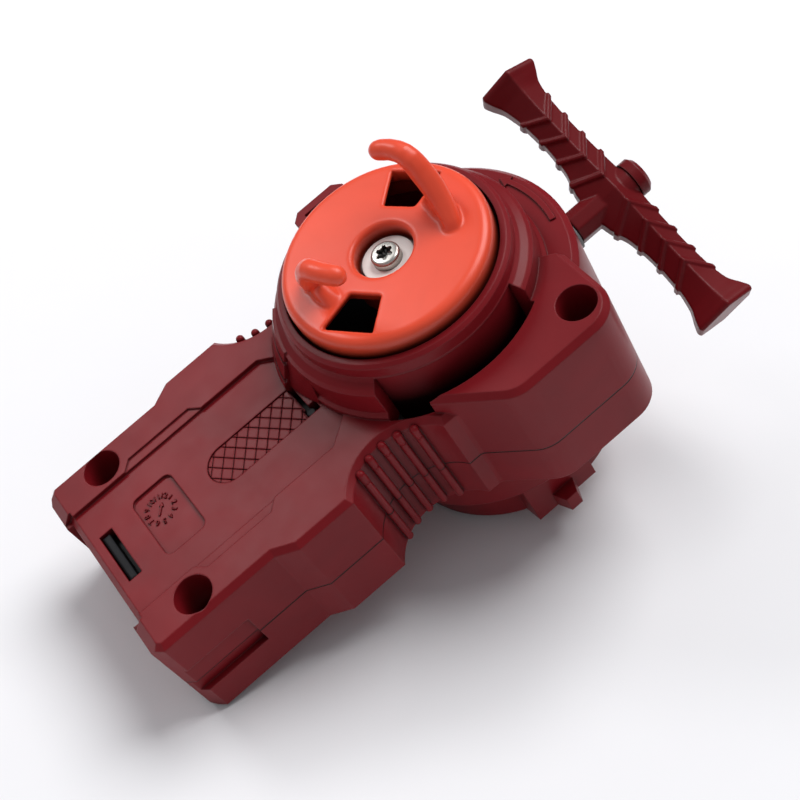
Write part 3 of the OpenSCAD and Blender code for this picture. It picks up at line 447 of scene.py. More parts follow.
def melted(mesh, voxel, rounds):
    def prepare(maker):
        melt = maker.modifiers.new("melt", "REMESH")
        melt.mode = "VOXEL"
        melt.voxel_size = voxel * MM
        ease = maker.modifiers.new("ease", "SMOOTH")
        ease.factor = 0.5
        ease.iterations = rounds
    result = evaluated(mesh, prepare)
    result.shade_smooth()
    return result


def bored(mesh, cutter_mesh):
    cutter = new_object("cutter", cutter_mesh)

    def prepare(maker):
        bore = maker.modifiers.new("bore", "BOOLEAN")
        bore.operation = "DIFFERENCE"
        bore.solver = "EXACT"
        bore.object = cutter
    result = evaluated(mesh, prepare)
    bpy.data.objects.remove(cutter)
    return result


def hand_over(name, mesh, material, body, slot, *stands_for):
    mesh.materials.clear()
    mesh.materials.append(material)
    piece = new_object(name, mesh)
    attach(piece, body)
    if stands_for:
        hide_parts(*stands_for)
    mesh.calc_loop_triangles()
    print(name, "rides on", body, "with", len(mesh.loop_triangles), "triangles")


print("piece helpers ready")

# %% [markdown]
# ## Hook disc
# The orange-red disc is one moulding: a thick plate with a rolled rim, two windows and two hooks that
# grow out of it in soft fillets. The plate comes from the CAD solid, with its well's edge eased and its
# windows thinned from below, so that little of their walls shows. Each hook is swept along a smooth line:
# a leaning arm that turns into a round finger, with a low gusset under the arm. Remeshed on a fine voxel
# grid and smoothed a little, plate and hooks flow together.


# %% Shave the hooks off the plate
def merged_copy(node):
    mesh = cad_nodes[node].data.copy()
    work = bmesh.new()
    work.from_mesh(mesh)
    bmesh.ops.remove_doubles(work, verts=work.verts, dist=0.001 * MM)
    work.to_mesh(mesh)
    work.free()
    return mesh


def joined(name, *meshes):
    work = bmesh.new()
    for mesh in meshes:
        work.from_mesh(mesh)
    both = bpy.data.meshes.new(name)
    work.to_mesh(both)
    work.free()
    return both


plan_x, plan_y = Vector((1, 0, 0)), Vector((0, 1, 0))
disc_face_z = 55.1
well_r, well_ease = 5.0, 0.6
shave_r, shave_rise, shave_sides = 19.0, 14, 96
shave_line = [(well_r, disc_face_z - well_ease), (well_r + well_ease, disc_face_z), (shave_r, disc_face_z),
              (shave_r, disc_face_z + shave_rise)]
shave = solid_mesh("shave", lofted([circle_ring(Vector((0, 0, z)), plan_x, plan_y, r, shave_sides)
                                    for r, z in shave_line]))
plate_mesh = bored(merged_copy("hook_disc"), shave)
print("plate without hooks:", len(plate_mesh.polygons), "faces")


# %% Thin the plate round its windows
def window_ring(first_turn, undercut, z):
    ring = []
    for r, turn, side in window_corners:
        angle = first_turn + math.radians(turn) + side * undercut / r
        ring.append(Vector((r * math.cos(angle), r * math.sin(angle), z)))
    return ring


# Each corner: its radius, its turn in degrees, and the side to which the undercut widens it
window_corners = [(8.95, 16.9, -1), (8.95, 54.1, 1), (15.85, 49.1, 1), (16.3, 16.2, -1)]
window_undercut = 1.2
window_lip, window_depth, window_past = 0.9, 3.2, 1
window_line = [(window_undercut, disc_face_z - window_depth), (window_undercut, disc_face_z - window_lip),
               (0, disc_face_z - window_lip), (0, disc_face_z + window_past)]
windows = solid_mesh("windows", *[lofted([window_ring(first, undercut, z) for undercut, z in window_line])
                                  for first in (0, math.pi)])
plate_mesh = bored(plate_mesh, windows)
print("plate with thinned windows:", len(plate_mesh.polygons), "faces")


# %% Sweep the hooks and melt the disc
def on_circle(turn, z, first_turn):
    angle = math.radians(turn) + first_turn
    return Vector((hook_r * math.cos(angle), hook_r * math.sin(angle), z))


def squarish(t, square):
    c, s = math.cos(t), math.sin(t)
    return math.copysign(abs(c) ** square, c), math.copysign(abs(s) ** square, s)


def swept_hook(first_turn):
    rings = []
    centres = [on_circle(turn, z, first_turn) for turn, z, wide, deep, square in hook_line]
    for i, (turn, z, wide, deep, square) in enumerate(hook_line):
        ahead = centres[min(i + 1, len(centres) - 1)] - centres[max(i - 1, 0)]
        out_way = Vector((centres[i].x, centres[i].y, 0))
        across = ahead.cross(out_way).normalized()
        outward = across.cross(ahead).normalized()
        corners = [squarish(2 * math.pi * j / hook_sides, square) for j in range(hook_sides)]
        rings.append([centres[i] + wide * c * across + deep * s * outward for c, s in corners])
    return lofted(rings)


def swept_gusset(first_turn):
    rings = []
    for turn, rise, deep in gusset_line:
        centre = on_circle(turn, gusset_z, first_turn)
        outward = Vector((centre.x, centre.y, 0)).normalized()
        middle = centre - gusset_in * outward
        rings.append(circle_ring(middle, outward * deep, Vector((0, 0, rise)), 1.0, hook_sides))
    return lofted(rings)


hook_r, hook_sides = 11.9, 32
# Each row: turn in degrees, height, half width, half depth, and a power that squares the section below 1
hook_line = [(-27.5, 53.8, 2.3, 1.55, 0.6), (-23.8, 55.1, 2.1, 1.6, 0.6), (-18, 56.5, 1.9, 1.7, 0.6),
             (-12.3, 57.9, 1.8, 1.8, 0.65), (-7, 59.3, 1.75, 1.9, 0.7), (-2, 60.7, 1.72, 1.95, 0.75),
             (2.5, 62.0, 1.72, 1.95, 0.8), (6, 63.2, 1.72, 1.9, 0.85), (9.5, 64.2, 1.72, 1.85, 0.9),
             (14, 64.9, 1.7, 1.8, 1), (20, 65.1, 1.7, 1.75, 1), (28, 65.1, 1.68, 1.7, 1),
             (36, 64.9, 1.7, 1.7, 1), (41, 64.7, 1.55, 1.55, 1), (44.5, 64.55, 1.05, 1.05, 1),
             (46.3, 64.5, 0.4, 0.4, 1)]
gusset_z, gusset_in = 54.6, 0.5
# Each row: turn in degrees, rise and half depth
gusset_line = [(-24, 0.3, 1.2), (-17, 1.6, 1.7), (-11, 3.0, 1.8), (-5, 3.5, 1.75), (1, 2.7, 1.7),
               (7, 1.8, 1.65), (12, 0.9, 1.6), (15, 0.3, 1.3)]
hook_solids = [solid(first) for first in (0, math.pi) for solid in (swept_hook, swept_gusset)]
hooks_mesh = solid_mesh("hooks", *hook_solids)
disc_mesh = melted(joined("disc", plate_mesh, hooks_mesh), voxel=0.22, rounds=9)
hand_over("moulded_hook_disc", disc_mesh, orange_red, "hub", "red_plastic", "hook_disc")

# %% [markdown]
# ## Pull handle
# The handle's bar has a ridge above and below, blunt edges, flared ends and chevron ribs for the fingers.
# Its sections are lofted through smooth curves of the same shares as the CAD's, so the long hollows run
# without kinks, and the ribs, the eight-sided stem and the round boss under the plug are melted into it.

# %% The bar's smooth curves
bar_x = 38.9
bar_half = 28.0
bar_end_half = 5.7
bar_end_height = 0.9
bar_edge = 0.36
handle_turn = math.radians(27)
# Shares of the half length, and at each the share of the end's reach in front, behind and upwards
bar_stations = [0, 0.14, 0.3, 0.5, 0.7, 0.84, 0.93, 0.98, 1]
bar_front = [0.98, 0.9, 0.65, 0.56, 0.6, 0.72, 0.92, 1, 0.95]
bar_back = [0.62, 0.58, 0.55, 0.54, 0.57, 0.67, 0.9, 1, 0.95]
bar_height = [0.84, 0.76, 0.68, 0.64, 0.66, 0.75, 0.9, 1, 0.95]


def eased(values, share):
    share = min(max(share, 0), 1)
    i = max(k for k in range(len(bar_stations) - 1) if bar_stations[k] <= share)
    gaps = [b - a for a, b in zip(bar_stations, bar_stations[1:])]
    slopes = [(b - a) / g for a, b, g in zip(values, values[1:], gaps)]

    def slope_at(k):
        if k == 0 or k == len(slopes):
            return slopes[min(k, len(slopes) - 1)]
        if slopes[k - 1] * slopes[k] <= 0:
            return 0
        return 2 * slopes[k - 1] * slopes[k] / (slopes[k - 1] + slopes[k])
    t = (share - bar_stations[i]) / gaps[i]
    rise = gaps[i] * (slope_at(i) * t * (1 - t) ** 2 - slope_at(i + 1) * t * t * (1 - t))
    return values[i] * (1 + 2 * t) * (1 - t) ** 2 + values[i + 1] * t * t * (3 - 2 * t) + rise


def bar_high(share, grow):
    return eased(bar_height, share) * bar_end_half * bar_end_height + grow


def bar_ring(share, front_lead, back_lead, grow, side):
    front_share, back_share = share + front_lead, share + back_lead
    front = eased(bar_front, front_share) * bar_end_half + grow
    back = eased(bar_back, back_share) * bar_end_half + grow
    high = bar_high(share, grow)
    front_edge, back_edge = bar_high(front_share, grow) * bar_edge, bar_high(back_share, grow) * bar_edge
    reach = side * bar_half
    ring = [(0, share * reach, high), (back, back_share * reach, back_edge),
            (back, back_share * reach, -back_edge), (0, share * reach, -high),
            (-front, front_share * reach, -front_edge), (-front, front_share * reach, front_edge)]
    return [Vector((bar_x + p[0], p[1], p[2])) for p in ring]


print("bar waist", round(2 * bar_high(0.5, 0), 2), "mm high")

# %% Loft the bar and its ribs
bar_steps = 60
shares = [i / bar_steps for i in range(bar_steps + 1)]
bar_rings = [bar_ring(s, 0, 0, 0, -1) for s in reversed(shares[1:])]
bar_rings += [bar_ring(s, 0, 0, 0, 1) for s in shares]
handle_solids = [lofted(bar_rings)]
rib_count = 4
rib_from, rib_to = 0.11, 0.6
rib_front, rib_back = 0.1, 0.14
rib_half = 0.02
rib_height = 0.42
rib_root = -0.5
rib_foot, rib_top = 1.2, 0.8
rib = [(-rib_foot, rib_root), (-rib_top, rib_height), (rib_top, rib_height), (rib_foot, rib_root)]
for side in (-1, 1):
    for i in range(rib_count):
        middle = rib_from + (rib_to - rib_from) * i / (rib_count - 1)
        handle_solids.append(lofted([bar_ring(middle + w * rib_half, rib_front, rib_back, grow, side)
                                     for w, grow in rib]))
print("bar and", len(handle_solids) - 1, "ribs")

# %% Add the stem and the boss, melt and bore the handle
stem_x = 29.4
stem_end_x = 36.9
stem_r = 3.1
boss_r = 3.2
boss_end_x = bar_x + bar_back[0] * bar_end_half
stem_sides, round_sides = 8, 48
half_side = math.pi / stem_sides
across = Vector((0, math.cos(half_side), math.sin(half_side)))
up = Vector((0, -math.sin(half_side), math.cos(half_side)))
handle_solids.append(lofted([circle_ring(Vector((x, 0, 0)), across, up, stem_r, stem_sides)
                             for x in (stem_x, stem_end_x)]))
square_y, square_z = Vector((0, 1, 0)), Vector((0, 0, 1))
handle_solids.append(lofted([circle_ring(Vector((x, 0, 0)), square_y, square_z, boss_r, round_sides)
                             for x in (bar_x, boss_end_x)]))
handle_mesh = melted(solid_mesh("handle", *handle_solids), voxel=0.16, rounds=3)
bore_r, pocket_r = 1.1, 2.3
pocket_front, bore_past, pocket_past = 2, 1, 11
pocket_x = bar_x - pocket_front
bore_line = [(stem_x - bore_past, bore_r), (pocket_x, bore_r), (pocket_x, pocket_r),
             (bar_x + pocket_past, pocket_r)]
bore_rings = [circle_ring(Vector((x, 0, 0)), square_y, square_z, r, round_sides) for x, r in bore_line]
handle_mesh = bored(handle_mesh, solid_mesh("bore", lofted(bore_rings)))
handle_place = Matrix.Translation((0, 0, seam_z * MM)) @ Matrix.Rotation(handle_turn, 4, "X")
handle_mesh.transform(handle_place)
hand_over("moulded_pull_handle", handle_mesh, handle_maroon, "handle", "maroon_plastic", "pull_handle")

# %% [markdown]
# ## Geometry Nodes helper
# Geometry Nodes suit what repeats. Each tree gets named inputs for its sizes, is run once by a modifier
# on a throw-away object, and leaves a plain mesh.


# %% Make a tree and run it on a mesh
def new_tree(name, sizes):
    tree = bpy.data.node_groups.new(name, "GeometryNodeTree")
    tree.interface.new_socket("Geometry", in_out="INPUT", socket_type="NodeSocketGeometry")
    tree.interface.new_socket("Geometry", in_out="OUTPUT", socket_type="NodeSocketGeometry")
    for label, value in sizes.items():
        kind = "NodeSocketInt" if isinstance(value, int) else "NodeSocketFloat"
        tree.interface.new_socket(label, in_out="INPUT", socket_type=kind)
    return tree, tree.nodes.new("NodeGroupInput").outputs, tree.nodes.new("NodeGroupOutput").inputs


def run_tree(mesh, tree, sizes):
    keys = {item.name: item.identifier for item in tree.interface.items_tree if item.in_out == "INPUT"}

    def prepare(maker):
        step = maker.modifiers.new("nodes", "NODES")
        step.node_group = tree
        for label, value in sizes.items():
            step[keys[label]] = value
    return evaluated(mesh, prepare)


def realized(tree, out, geometry, material):
    real = add(tree, "GeometryNodeRealizeInstances", {"Geometry": geometry})
    dressed = add(tree, "GeometryNodeSetMaterial", {"Geometry": real.outputs[0], "Material": material})
    tree.links.new(dressed.outputs[0], out["Geometry"])


print("tree helpers ready")


# %% Trees that set out a pattern or wind a coil
def set_out(name, pattern_mesh, spots, turn, material):
    pattern = new_object(name, pattern_mesh)
    spot_mesh = bpy.data.meshes.new(name)
    spot_mesh.from_pydata([Vector(spot) * MM for spot in spots], [], [])
    tree, have, out = new_tree(name, {"Turn": turn})
    taken = add(tree, "GeometryNodeObjectInfo", {"Object": pattern})
    way = add(tree, "ShaderNodeCombineXYZ", {"Z": have["Turn"]})
    placed = add(tree, "GeometryNodeInstanceOnPoints", {"Points": have["Geometry"],
                                                        "Instance": taken.outputs["Geometry"],
                                                        "Rotation": way.outputs[0]})
    realized(tree, out, placed.outputs[0], material)
    mesh = run_tree(spot_mesh, tree, {"Turn": turn})
    bpy.data.objects.remove(pattern)
    return mesh


def coiled(name, sizes, rotate, move, material):
    tree, have, out = new_tree(name, sizes)
    coil = add(tree, "GeometryNodeCurveSpiral",
               {"Resolution": have["Steps"], "Rotations": have["Turns"], "Start Radius": have["Radius"],
                "End Radius": have["Radius"], "Height": have["Height"]})
    section = add(tree, "GeometryNodeCurvePrimitiveCircle", {"Resolution": 10, "Radius": have["Wire"]})
    wound = add(tree, "GeometryNodeCurveToMesh",
                {"Curve": coil.outputs[0], "Profile Curve": section.outputs[0], "Fill Caps": True})
    laid = add(tree, "GeometryNodeTransform", {"Geometry": wound.outputs[0], "Rotation": rotate,
                                               "Translation": move})
    realized(tree, out, laid.outputs[0], material)
    mesh = run_tree(bpy.data.meshes.new(name), tree, sizes)
    mesh.shade_smooth()
    return mesh


print("pattern and coil helpers ready")

# %% [markdown]
# ## Thumb strip
# The thumb rests on a strip of raised lozenges, crossed by two sets of slanted grooves. One lozenge is a
# four-sided cone with its tip cut off. It is set on the points of a turned grid and cut to the strip's
# outline, which is straight at the tower, stepped round the lock's nub, and round towards the grip's end.

# %% Outline of the strip
panel_z = 40.3
strip_depth, strip_sink, lozenge_sink = 0.5, 0.05, 0.01
strip_floor_z = panel_z - strip_depth
strip_r = 3.75
strip_round_x = -40.35
strip_start_x, strip_middle_x = -25.6, -35.5
nub_back_x, nub_top_y = -26.0, -1.65
outline = [(nub_back_x, -strip_r), (nub_back_x, nub_top_y), (strip_start_x, nub_top_y),
           (strip_start_x, strip_r)]
round_steps = 24
outline += [(strip_round_x - strip_r * math.sin(math.pi * k / round_steps),
             strip_r * math.cos(math.pi * k / round_steps)) for k in range(round_steps + 1)]
outline_mesh = solid_mesh("strip_outline", lofted([[Vector((x, y, z)) for x, y in outline]
                                                   for z in (strip_floor_z - strip_sink, panel_z)]))
print("strip outline of", len(outline), "points")

# %% Raise the lozenges
strip_sizes = {"Pitch": 2.2 * MM, "Lozenge": 1.5 * MM, "Draft": 0.09 * MM, "Height": 0.32 * MM,
               "Count": 13, "Stretch": 0.8}
strip_tree, have, out = new_tree("thumb_lozenges", strip_sizes)
steps = add(strip_tree, "ShaderNodeMath", {0: have["Count"], 1: 1.0}, operation="SUBTRACT")
reach = add(strip_tree, "ShaderNodeMath", {0: have["Pitch"], 1: steps.outputs[0]}, operation="MULTIPLY")
grid = add(strip_tree, "GeometryNodeMeshGrid", {"Size X": reach.outputs[0], "Size Y": reach.outputs[0],
                                                "Vertices X": have["Count"], "Vertices Y": have["Count"]})
turned = add(strip_tree, "GeometryNodeTransform", {"Geometry": grid.outputs["Mesh"],
                                                   "Rotation": (0, 0, math.pi / 4)})
top_r = add(strip_tree, "ShaderNodeMath", {0: have["Lozenge"], 1: have["Draft"]}, operation="SUBTRACT")
lozenge = add(strip_tree, "GeometryNodeMeshCone", {"Vertices": 4, "Radius Top": top_r.outputs[0],
                                                   "Radius Bottom": have["Lozenge"],
                                                   "Depth": have["Height"]})
field = add(strip_tree, "GeometryNodeInstanceOnPoints", {"Points": turned.outputs[0],
                                                         "Instance": lozenge.outputs["Mesh"]})
loose = add(strip_tree, "GeometryNodeRealizeInstances", {"Geometry": field.outputs[0]})
wide = add(strip_tree, "ShaderNodeCombineXYZ", {"X": have["Stretch"], "Y": 1.0, "Z": 1.0})
laid = add(strip_tree, "GeometryNodeTransform",
           {"Geometry": loose.outputs[0], "Scale": wide.outputs[0],
            "Translation": (strip_middle_x * MM, 0, (strip_floor_z - lozenge_sink) * MM)})
trimmed = add(strip_tree, "GeometryNodeMeshBoolean", operation="INTERSECT", solver="EXACT")
strip_tree.links.new(laid.outputs[0], trimmed.inputs["Mesh 2"])
strip_tree.links.new(have["Geometry"], trimmed.inputs["Mesh 2"])
realized(strip_tree, out, trimmed.outputs["Mesh"], maroon)
strip_mesh = run_tree(outline_mesh, strip_tree, strip_sizes)
hand_over("thumb_strip_lozenges", strip_mesh, maroon, "housing", "maroon_plastic")

# %% [markdown]
# ## Centre screw and housing screws
# The disc is held by a round-headed screw with a six-lobed recess, and the two halves of the housing by
# three sunk screws with a cross recess. A head is a stack of rings: the recess's lobed ring, pushed down
# into the head, then the dome, the rim and the shank.


# %% A screw with a recess
def screw_solid(lobe, recess_deep, head_r, head_h, dome, shank_r, shank_l, sides=96):
    turns = [2 * math.pi * k / sides for k in range(sides)]

    def ring(radius_at, z):
        return [Vector((radius_at(t) * math.cos(t), radius_at(t) * math.sin(t), z)) for t in turns]

    def plain(radius):
        return lambda t: radius
    dome_steps = 6
    floor_share, corner_share = 0.75, 0.8
    edge_deep, edge_out = 0.06, 0.07
    rings = [ring(lambda t: lobe(t) * floor_share, head_h - recess_deep),
             ring(lobe, head_h - recess_deep * corner_share), ring(lobe, head_h - edge_deep),
             ring(lambda t: lobe(t) + edge_out, head_h)]
    for k in range(dome_steps + 1):
        a = math.pi / 2 * k / dome_steps
        rings.append(ring(plain(head_r - dome + dome * math.sin(a)), head_h - dome * (1 - math.cos(a))))
    rings += [ring(plain(head_r), 0), ring(plain(shank_r), 0), ring(plain(shank_r), -shank_l)]
    return lofted(rings)


def screw_mesh(name, lobe, **sizes):
    mesh = solid_mesh(name, screw_solid(lobe, **sizes))
    mesh.shade_smooth()
    mesh.set_sharp_from_angle(angle=math.radians(40))
    return mesh


print("screw helpers ready")


# %% The disc's screw
def six_lobes(t):
    wave = math.cos(6 * t)
    return lobe_r + lobe_swing * wave * (1.5 - 0.5 * wave * wave)


lobe_r, lobe_swing = 1.24, 0.2
washer_top_z = 52.5
centre_screw = screw_mesh("centre_screw", six_lobes, recess_deep=1.2, head_r=2.5, head_h=1.7, dome=0.6,
                          shank_r=1.2, shank_l=4.6)
centre_screw.transform(Matrix.Translation((0, 0, washer_top_z * MM)))
hand_over("six_lobe_screw", centre_screw, zinc, "hub", "steel", "centre_screw")


# %% Set the housing's screws in their holes
def cross_slots(t):
    return cross_r + cross_reach * max(0.0, math.cos(4 * t)) ** cross_power


cross_r, cross_reach, cross_power = 0.55, 1.0, 6
screw_seat_rise = 2.5
screw_seat_z = seam_z + screw_seat_rise
screw_foot_z = 21.6
screw_turn = 0.4
screw_spots = [(x, y, screw_seat_z) for x, y in ((-57.4, 16.7), (-57.4, -16.7), (16.4, -25.2))]
cross_screw = screw_mesh("cross_screw", cross_slots, recess_deep=1.1, head_r=2.9, head_h=2.0, dome=0.7,
                         shank_r=1.15, shank_l=screw_seat_z - screw_foot_z, sides=64)
screws_mesh = set_out("housing_screw_set", cross_screw, screw_spots, screw_turn, zinc)
hand_over("cross_recess_screws", screws_mesh, zinc, "housing", "steel", "housing_screws")

# %% [markdown]
# ## String
# The string is wound on the reel in one layer, leaves it along a tangent, runs through the guide and ends
# in a knot inside the handle. The lead is one tube from the reel to the knot.

# %% Wind the string on the reel
string_r = 0.58
winding_r = 13.1
winding_low_z, winding_high_z = 22.9, 33.3
winding_sizes = {"Turns": 8.6, "Radius": winding_r * MM, "Height": (winding_high_z - winding_low_z) * MM,
                 "Wire": string_r * MM, "Steps": 48}
winding_mesh = coiled("string_winding", winding_sizes, (0, 0, 0), (0, 0, winding_low_z * MM), cord_fibre)
hand_over("string_winding", winding_mesh, cord_fibre, "reel", "string", "wound_string")

# %% Lead the string to the handle
leave_r = 14.6
guide_in_x = 20.6
guide_face_x = 29.1
knot_gap = 1.2
leave = math.acos(leave_r / guide_in_x)
lead_corners = [Vector((leave_r * math.cos(leave), -leave_r * math.sin(leave), seam_z)),
                Vector((guide_in_x, 0, seam_z)), Vector((guide_face_x, 0, seam_z)),
                Vector((stem_x, 0, seam_z)), Vector((bar_x - knot_gap, 0, seam_z))]
lead_steps = 6
lead_path = []
for start, end in zip(lead_corners, lead_corners[1:]):
    lead_path += [start.lerp(end, k / lead_steps) for k in range(lead_steps)]
lead_path.append(lead_corners[-1])
lead_mesh = solid_mesh("lead", tube(lead_path, string_r, sides=12))
lead_mesh.shade_smooth()
lead_mesh.materials.append(cord_fibre)
lead = new_object("string_run", lead_mesh)
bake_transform(lead)
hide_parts("string_lead")
print("string lead", round(sum((b - a).length for a, b in zip(lead_path, lead_path[1:])), 1), "mm long")

# %% Tie the knot in the handle
knot_steps = 90
knot_r, knot_wave, knot_lean, knot_string_r = 0.66, 0.3, 0.42, 0.5
knot_path = []
for k in range(knot_steps):
    t = 2 * math.pi * k / knot_steps
    swing = knot_r + knot_wave * math.cos(3 * t)
    knot_path.append(Vector((bar_x + knot_lean * math.sin(3 * t), swing * math.cos(2 * t),
                             seam_z + swing * math.sin(2 * t))))
knot_mesh = solid_mesh("knot", tube(knot_path, knot_string_r, sides=8))
knot_mesh.shade_smooth()
hand_over("string_end_knot", knot_mesh, cord_fibre, "handle", "string", "string_knot")

# %% [markdown]
# ## Marks on the housing
# The grip carries a small moulder's dial of plain numbers in its recess, and a plain curved arrow at the
# nose shows which way the disc spins. Both are raised by a fraction of a millimetre, as marks cut into a
# mould are.


# %% Numbers on the moulder's dial
def raised_number(words, height, thick):
    curve = bpy.data.curves.new("number", "FONT")
    curve.body = words
    curve.size = height * MM
    curve.extrude = thick * MM
    curve.align_x = "CENTER"
    curve.align_y = "CENTER"
    curve.resolution_u = 3
    holder = new_object("number", curve)
    depsgraph = bpy.context.evaluated_depsgraph_get()
    mesh = bpy.data.meshes.new_from_object(holder.evaluated_get(depsgraph), depsgraph=depsgraph)
    bpy.data.objects.remove(holder)
    return mesh


dial_spot = Vector((-53.7, 2.1, 39.8))
dial_r = 2.5
dial_up = math.radians(47)
number_height, number_count = 1.45, 12
mark_rise, mark_sink = 0.22, 0.05
marks = bmesh.new()
for number in range(1, number_count + 1):
    mesh = raised_number(str(number), number_height, mark_rise)
    turn = dial_up - 2 * math.pi * number / number_count
    at = dial_spot + dial_r * Vector((math.cos(turn), math.sin(turn), 0))
    mesh.transform(Matrix.Translation(at * MM) @ Matrix.Rotation(turn - math.pi / 2, 4, "Z"))
    marks.from_mesh(mesh)
    bpy.data.meshes.remove(mesh)
dial_mesh = bpy.data.meshes.new("moulder_dial")
marks.to_mesh(dial_mesh)
marks.free()
hand_over("moulder_dial_numbers", dial_mesh, maroon, "housing", "maroon_plastic")


# %% Arrows that are raised from a face
def flat_solid(outline, z0, z1):
    return lofted([[Vector((x, y, z)) for x, y in outline] for z in (z0, z1)])


def turned_outline(outline, angle, centre):
    c, s = math.cos(angle), math.sin(angle)
    return [(centre[0] + c * x - s * y, centre[1] + s * x + c * y) for x, y in outline]


pointer = [(-1.2, -0.14), (0.5, -0.14), (0.5, -0.42), (1.3, 0), (0.5, 0.42), (0.5, 0.14), (-1.2, 0.14)]
pointer_solid = flat_solid(turned_outline(pointer, dial_up, dial_spot), dial_spot.z - mark_sink,
                           dial_spot.z + mark_rise)
arc_x = 2.6
arc_r = 23.4
arc_from, arc_to, arc_tip = math.radians(-16), math.radians(15), math.radians(20)
arc_half, arc_head = 0.5, 1.15
arc_steps = 16
turns = [arc_from + (arc_to - arc_from) * k / arc_steps for k in range(arc_steps + 1)]
arc_outline = [(arc_x + (arc_r + arc_half) * math.cos(t), (arc_r + arc_half) * math.sin(t)) for t in turns]
arc_outline += [(arc_x + (arc_r + r) * math.cos(t), (arc_r + r) * math.sin(t))
                for r, t in ((arc_head, arc_to), (0, arc_tip), (-arc_head, arc_to))]
arc_outline += [(arc_x + (arc_r - arc_half) * math.cos(t), (arc_r - arc_half) * math.sin(t))
                for t in reversed(turns)]
face_z = 41.1
arc_rise = 0.3
arc_solid = flat_solid(arc_outline, face_z - mark_sink, face_z + arc_rise)
arrow_mesh = solid_mesh("arrows", pointer_solid, arc_solid)
hand_over("plain_arrows", arrow_mesh, maroon, "housing", "maroon_plastic")

# %% [markdown]
# ## Rib crowns
# Each rib of the waist ends in a domed crown that reaches up past the chamfer, a shade prouder than the
# rib. One crown is a short rod with a round top, and it is set out on both sides.

# %% Crown the ribs
waist_x, waist_y, waist_r = 20.2, 28.12, 10.5
rib_turn = math.radians(16.5)
crown_r, crown_out, crown_drop = 0.74, 0.44, 0.25
crown_foot_r, crown_foot_z, crown_full_z = 0.66, -3.2, -2.2
crown_tip_r, crown_steps, crown_sides = 0.02, 6, 20
crown_line = [(crown_foot_r, crown_foot_z), (crown_r, crown_full_z)]
for k in range(crown_steps + 1):
    a = math.pi / 2 * k / crown_steps
    crown_line.append((max(crown_r * math.cos(a), crown_tip_r), crown_r * (math.sin(a) - 1)))
crown = solid_mesh("crown", lofted([circle_ring(Vector((0, 0, z)), plan_x, plan_y, r, crown_sides)
                                    for r, z in crown_line]))
crown.shade_smooth()
crown_reach = waist_r - crown_out
crown_spots = [(-waist_x + crown_reach * math.sin(i * rib_turn),
                side * (waist_y - crown_reach * math.cos(i * rib_turn)), face_z - crown_drop)
               for side in (-1, 1) for i in range(-2, 3)]
crowns_mesh = set_out("rib_crown_set", crown, crown_spots, 0.0, maroon)
hand_over("rib_crowns", crowns_mesh, maroon, "housing", "maroon_plastic")

# %% [markdown]
# ## Trench liner and its painted shade
# Beside the tower a deep arc of a slot runs down to the works. A thin tray lines the slot just inside the
# housing's walls, and its inner wall climbs the tower up to the lip. Its colour fades from maroon under
# the tower's lip to black at its floor: the fade is painted shade for the deep slot, and the black floor
# stands for the dark works below.

# %% Line the trench
trench_from, trench_span = math.radians(-135.8), math.radians(77.6)
tray_in, tray_out = 19.76, 23.02
tray_floor, tray_rim, tray_lip = 32.16, 40.6, 48.7
tray_wall = 0.25
tray_steps = 40
# The inner wall rises to the tower's lip, so the painted shade also covers the tower's wall in the slot.
section = [(tray_in, tray_lip), (tray_in, tray_floor), (tray_out, tray_floor), (tray_out, tray_rim),
           (tray_out - tray_wall, tray_rim), (tray_out - tray_wall, tray_floor + tray_wall),
           (tray_in + tray_wall, tray_floor + tray_wall), (tray_in + tray_wall, tray_lip)]
tray_rings = []
for k in range(tray_steps + 1):
    t = trench_from + trench_span * k / tray_steps
    tray_rings.append([Vector((r * math.cos(t), r * math.sin(t), z)) for r, z in section])
tray_mesh = solid_mesh("tray", lofted(tray_rings))
hand_over("trench_liner", tray_mesh, trench_maroon, "housing", "black_plastic")

# %% [markdown]
# ## Tower ramp and lock
# Between the tower and the thumb strip the housing slopes down in one smooth ramp. The CAD model has the
# first half of that slope, and a lofted piece carries it on to the lock's nub. In the window at the grip's
# end the lock's bar shows as a raised black bar with blunt edges, which slides with the bar. The coil
# spring behind it is wound anew in the CAD spring's place.

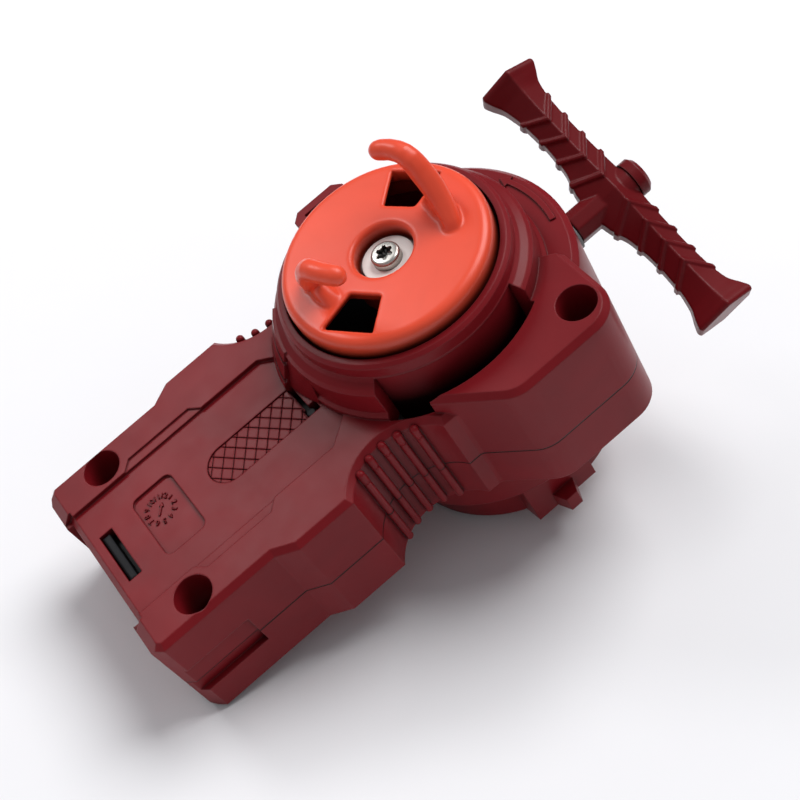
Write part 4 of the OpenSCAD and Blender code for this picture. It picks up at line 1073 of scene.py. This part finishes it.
# %% Loft the ramp
ramp_from, ramp_to = 170.5, 188.5
ramp_foot_from, ramp_foot_to = 25.0, 23.1
ramp_base_z, ramp_toe_z, ramp_top_z = 40.2, 40.7, 47.6
ramp_seat_r, ramp_top_r = 21.2, 22.05
ramp_steps = 16
ramp_rings = []
for k in range(ramp_steps + 1):
    share = k / ramp_steps
    t = math.radians(ramp_from + (ramp_to - ramp_from) * share)
    foot_r = ramp_foot_from + (ramp_foot_to - ramp_foot_from) * share
    side_line = [(ramp_seat_r, ramp_base_z), (foot_r, ramp_base_z), (foot_r, ramp_toe_z),
                 (ramp_top_r, ramp_top_z), (ramp_seat_r, ramp_top_z)]
    ramp_rings.append([Vector((r * math.cos(t), r * math.sin(t), z)) for r, z in side_line])
hand_over("tower_ramp", solid_mesh("ramp", lofted(ramp_rings)), shell_maroon, "housing", "maroon_plastic")


# %% Raise the lock bar's end in its window
def block_ring(inset, z):
    x0, x1 = lock_end_x + inset, lock_end_x + lock_end_l - inset
    half = lock_end_w / 2 - inset
    return [Vector((x, y, z)) for x, y in ((x0, -half), (x1, -half), (x1, half), (x0, half))]


lock_end_x, lock_end_l, lock_end_w = -64.35, 1.55, 10.9
# Each section: its inset and its height
lock_end_sections = [(0, 37.9), (0, 39.5), (0.12, 39.8), (0.4, 39.9)]
lock_end = solid_mesh("lock_end", lofted([block_ring(inset, z) for inset, z in lock_end_sections]))
hand_over("lock_bar_end", lock_end, black, "bar", "black_plastic")

# %% Coil the lock's spring
coil_low, coil_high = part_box("lock_spring")
coil_middle = (coil_low + coil_high) / 2
coil_wire = 0.2 * MM
coil_sizes = {"Turns": 6.0, "Radius": 1.3 * MM, "Height": coil_high.x - coil_low.x - 2 * coil_wire,
              "Wire": coil_wire, "Steps": 24}
coil_mesh = coiled("lock_coil", coil_sizes, (0, math.pi / 2, 0),
                   (coil_low.x + coil_wire, coil_middle.y, coil_middle.z), spring_steel)
coil = new_object("lock_coil", coil_mesh)
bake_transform(coil)
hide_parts("lock_spring")
print("lock coil", round((coil_high.x - coil_low.x) / MM, 2), "mm long")
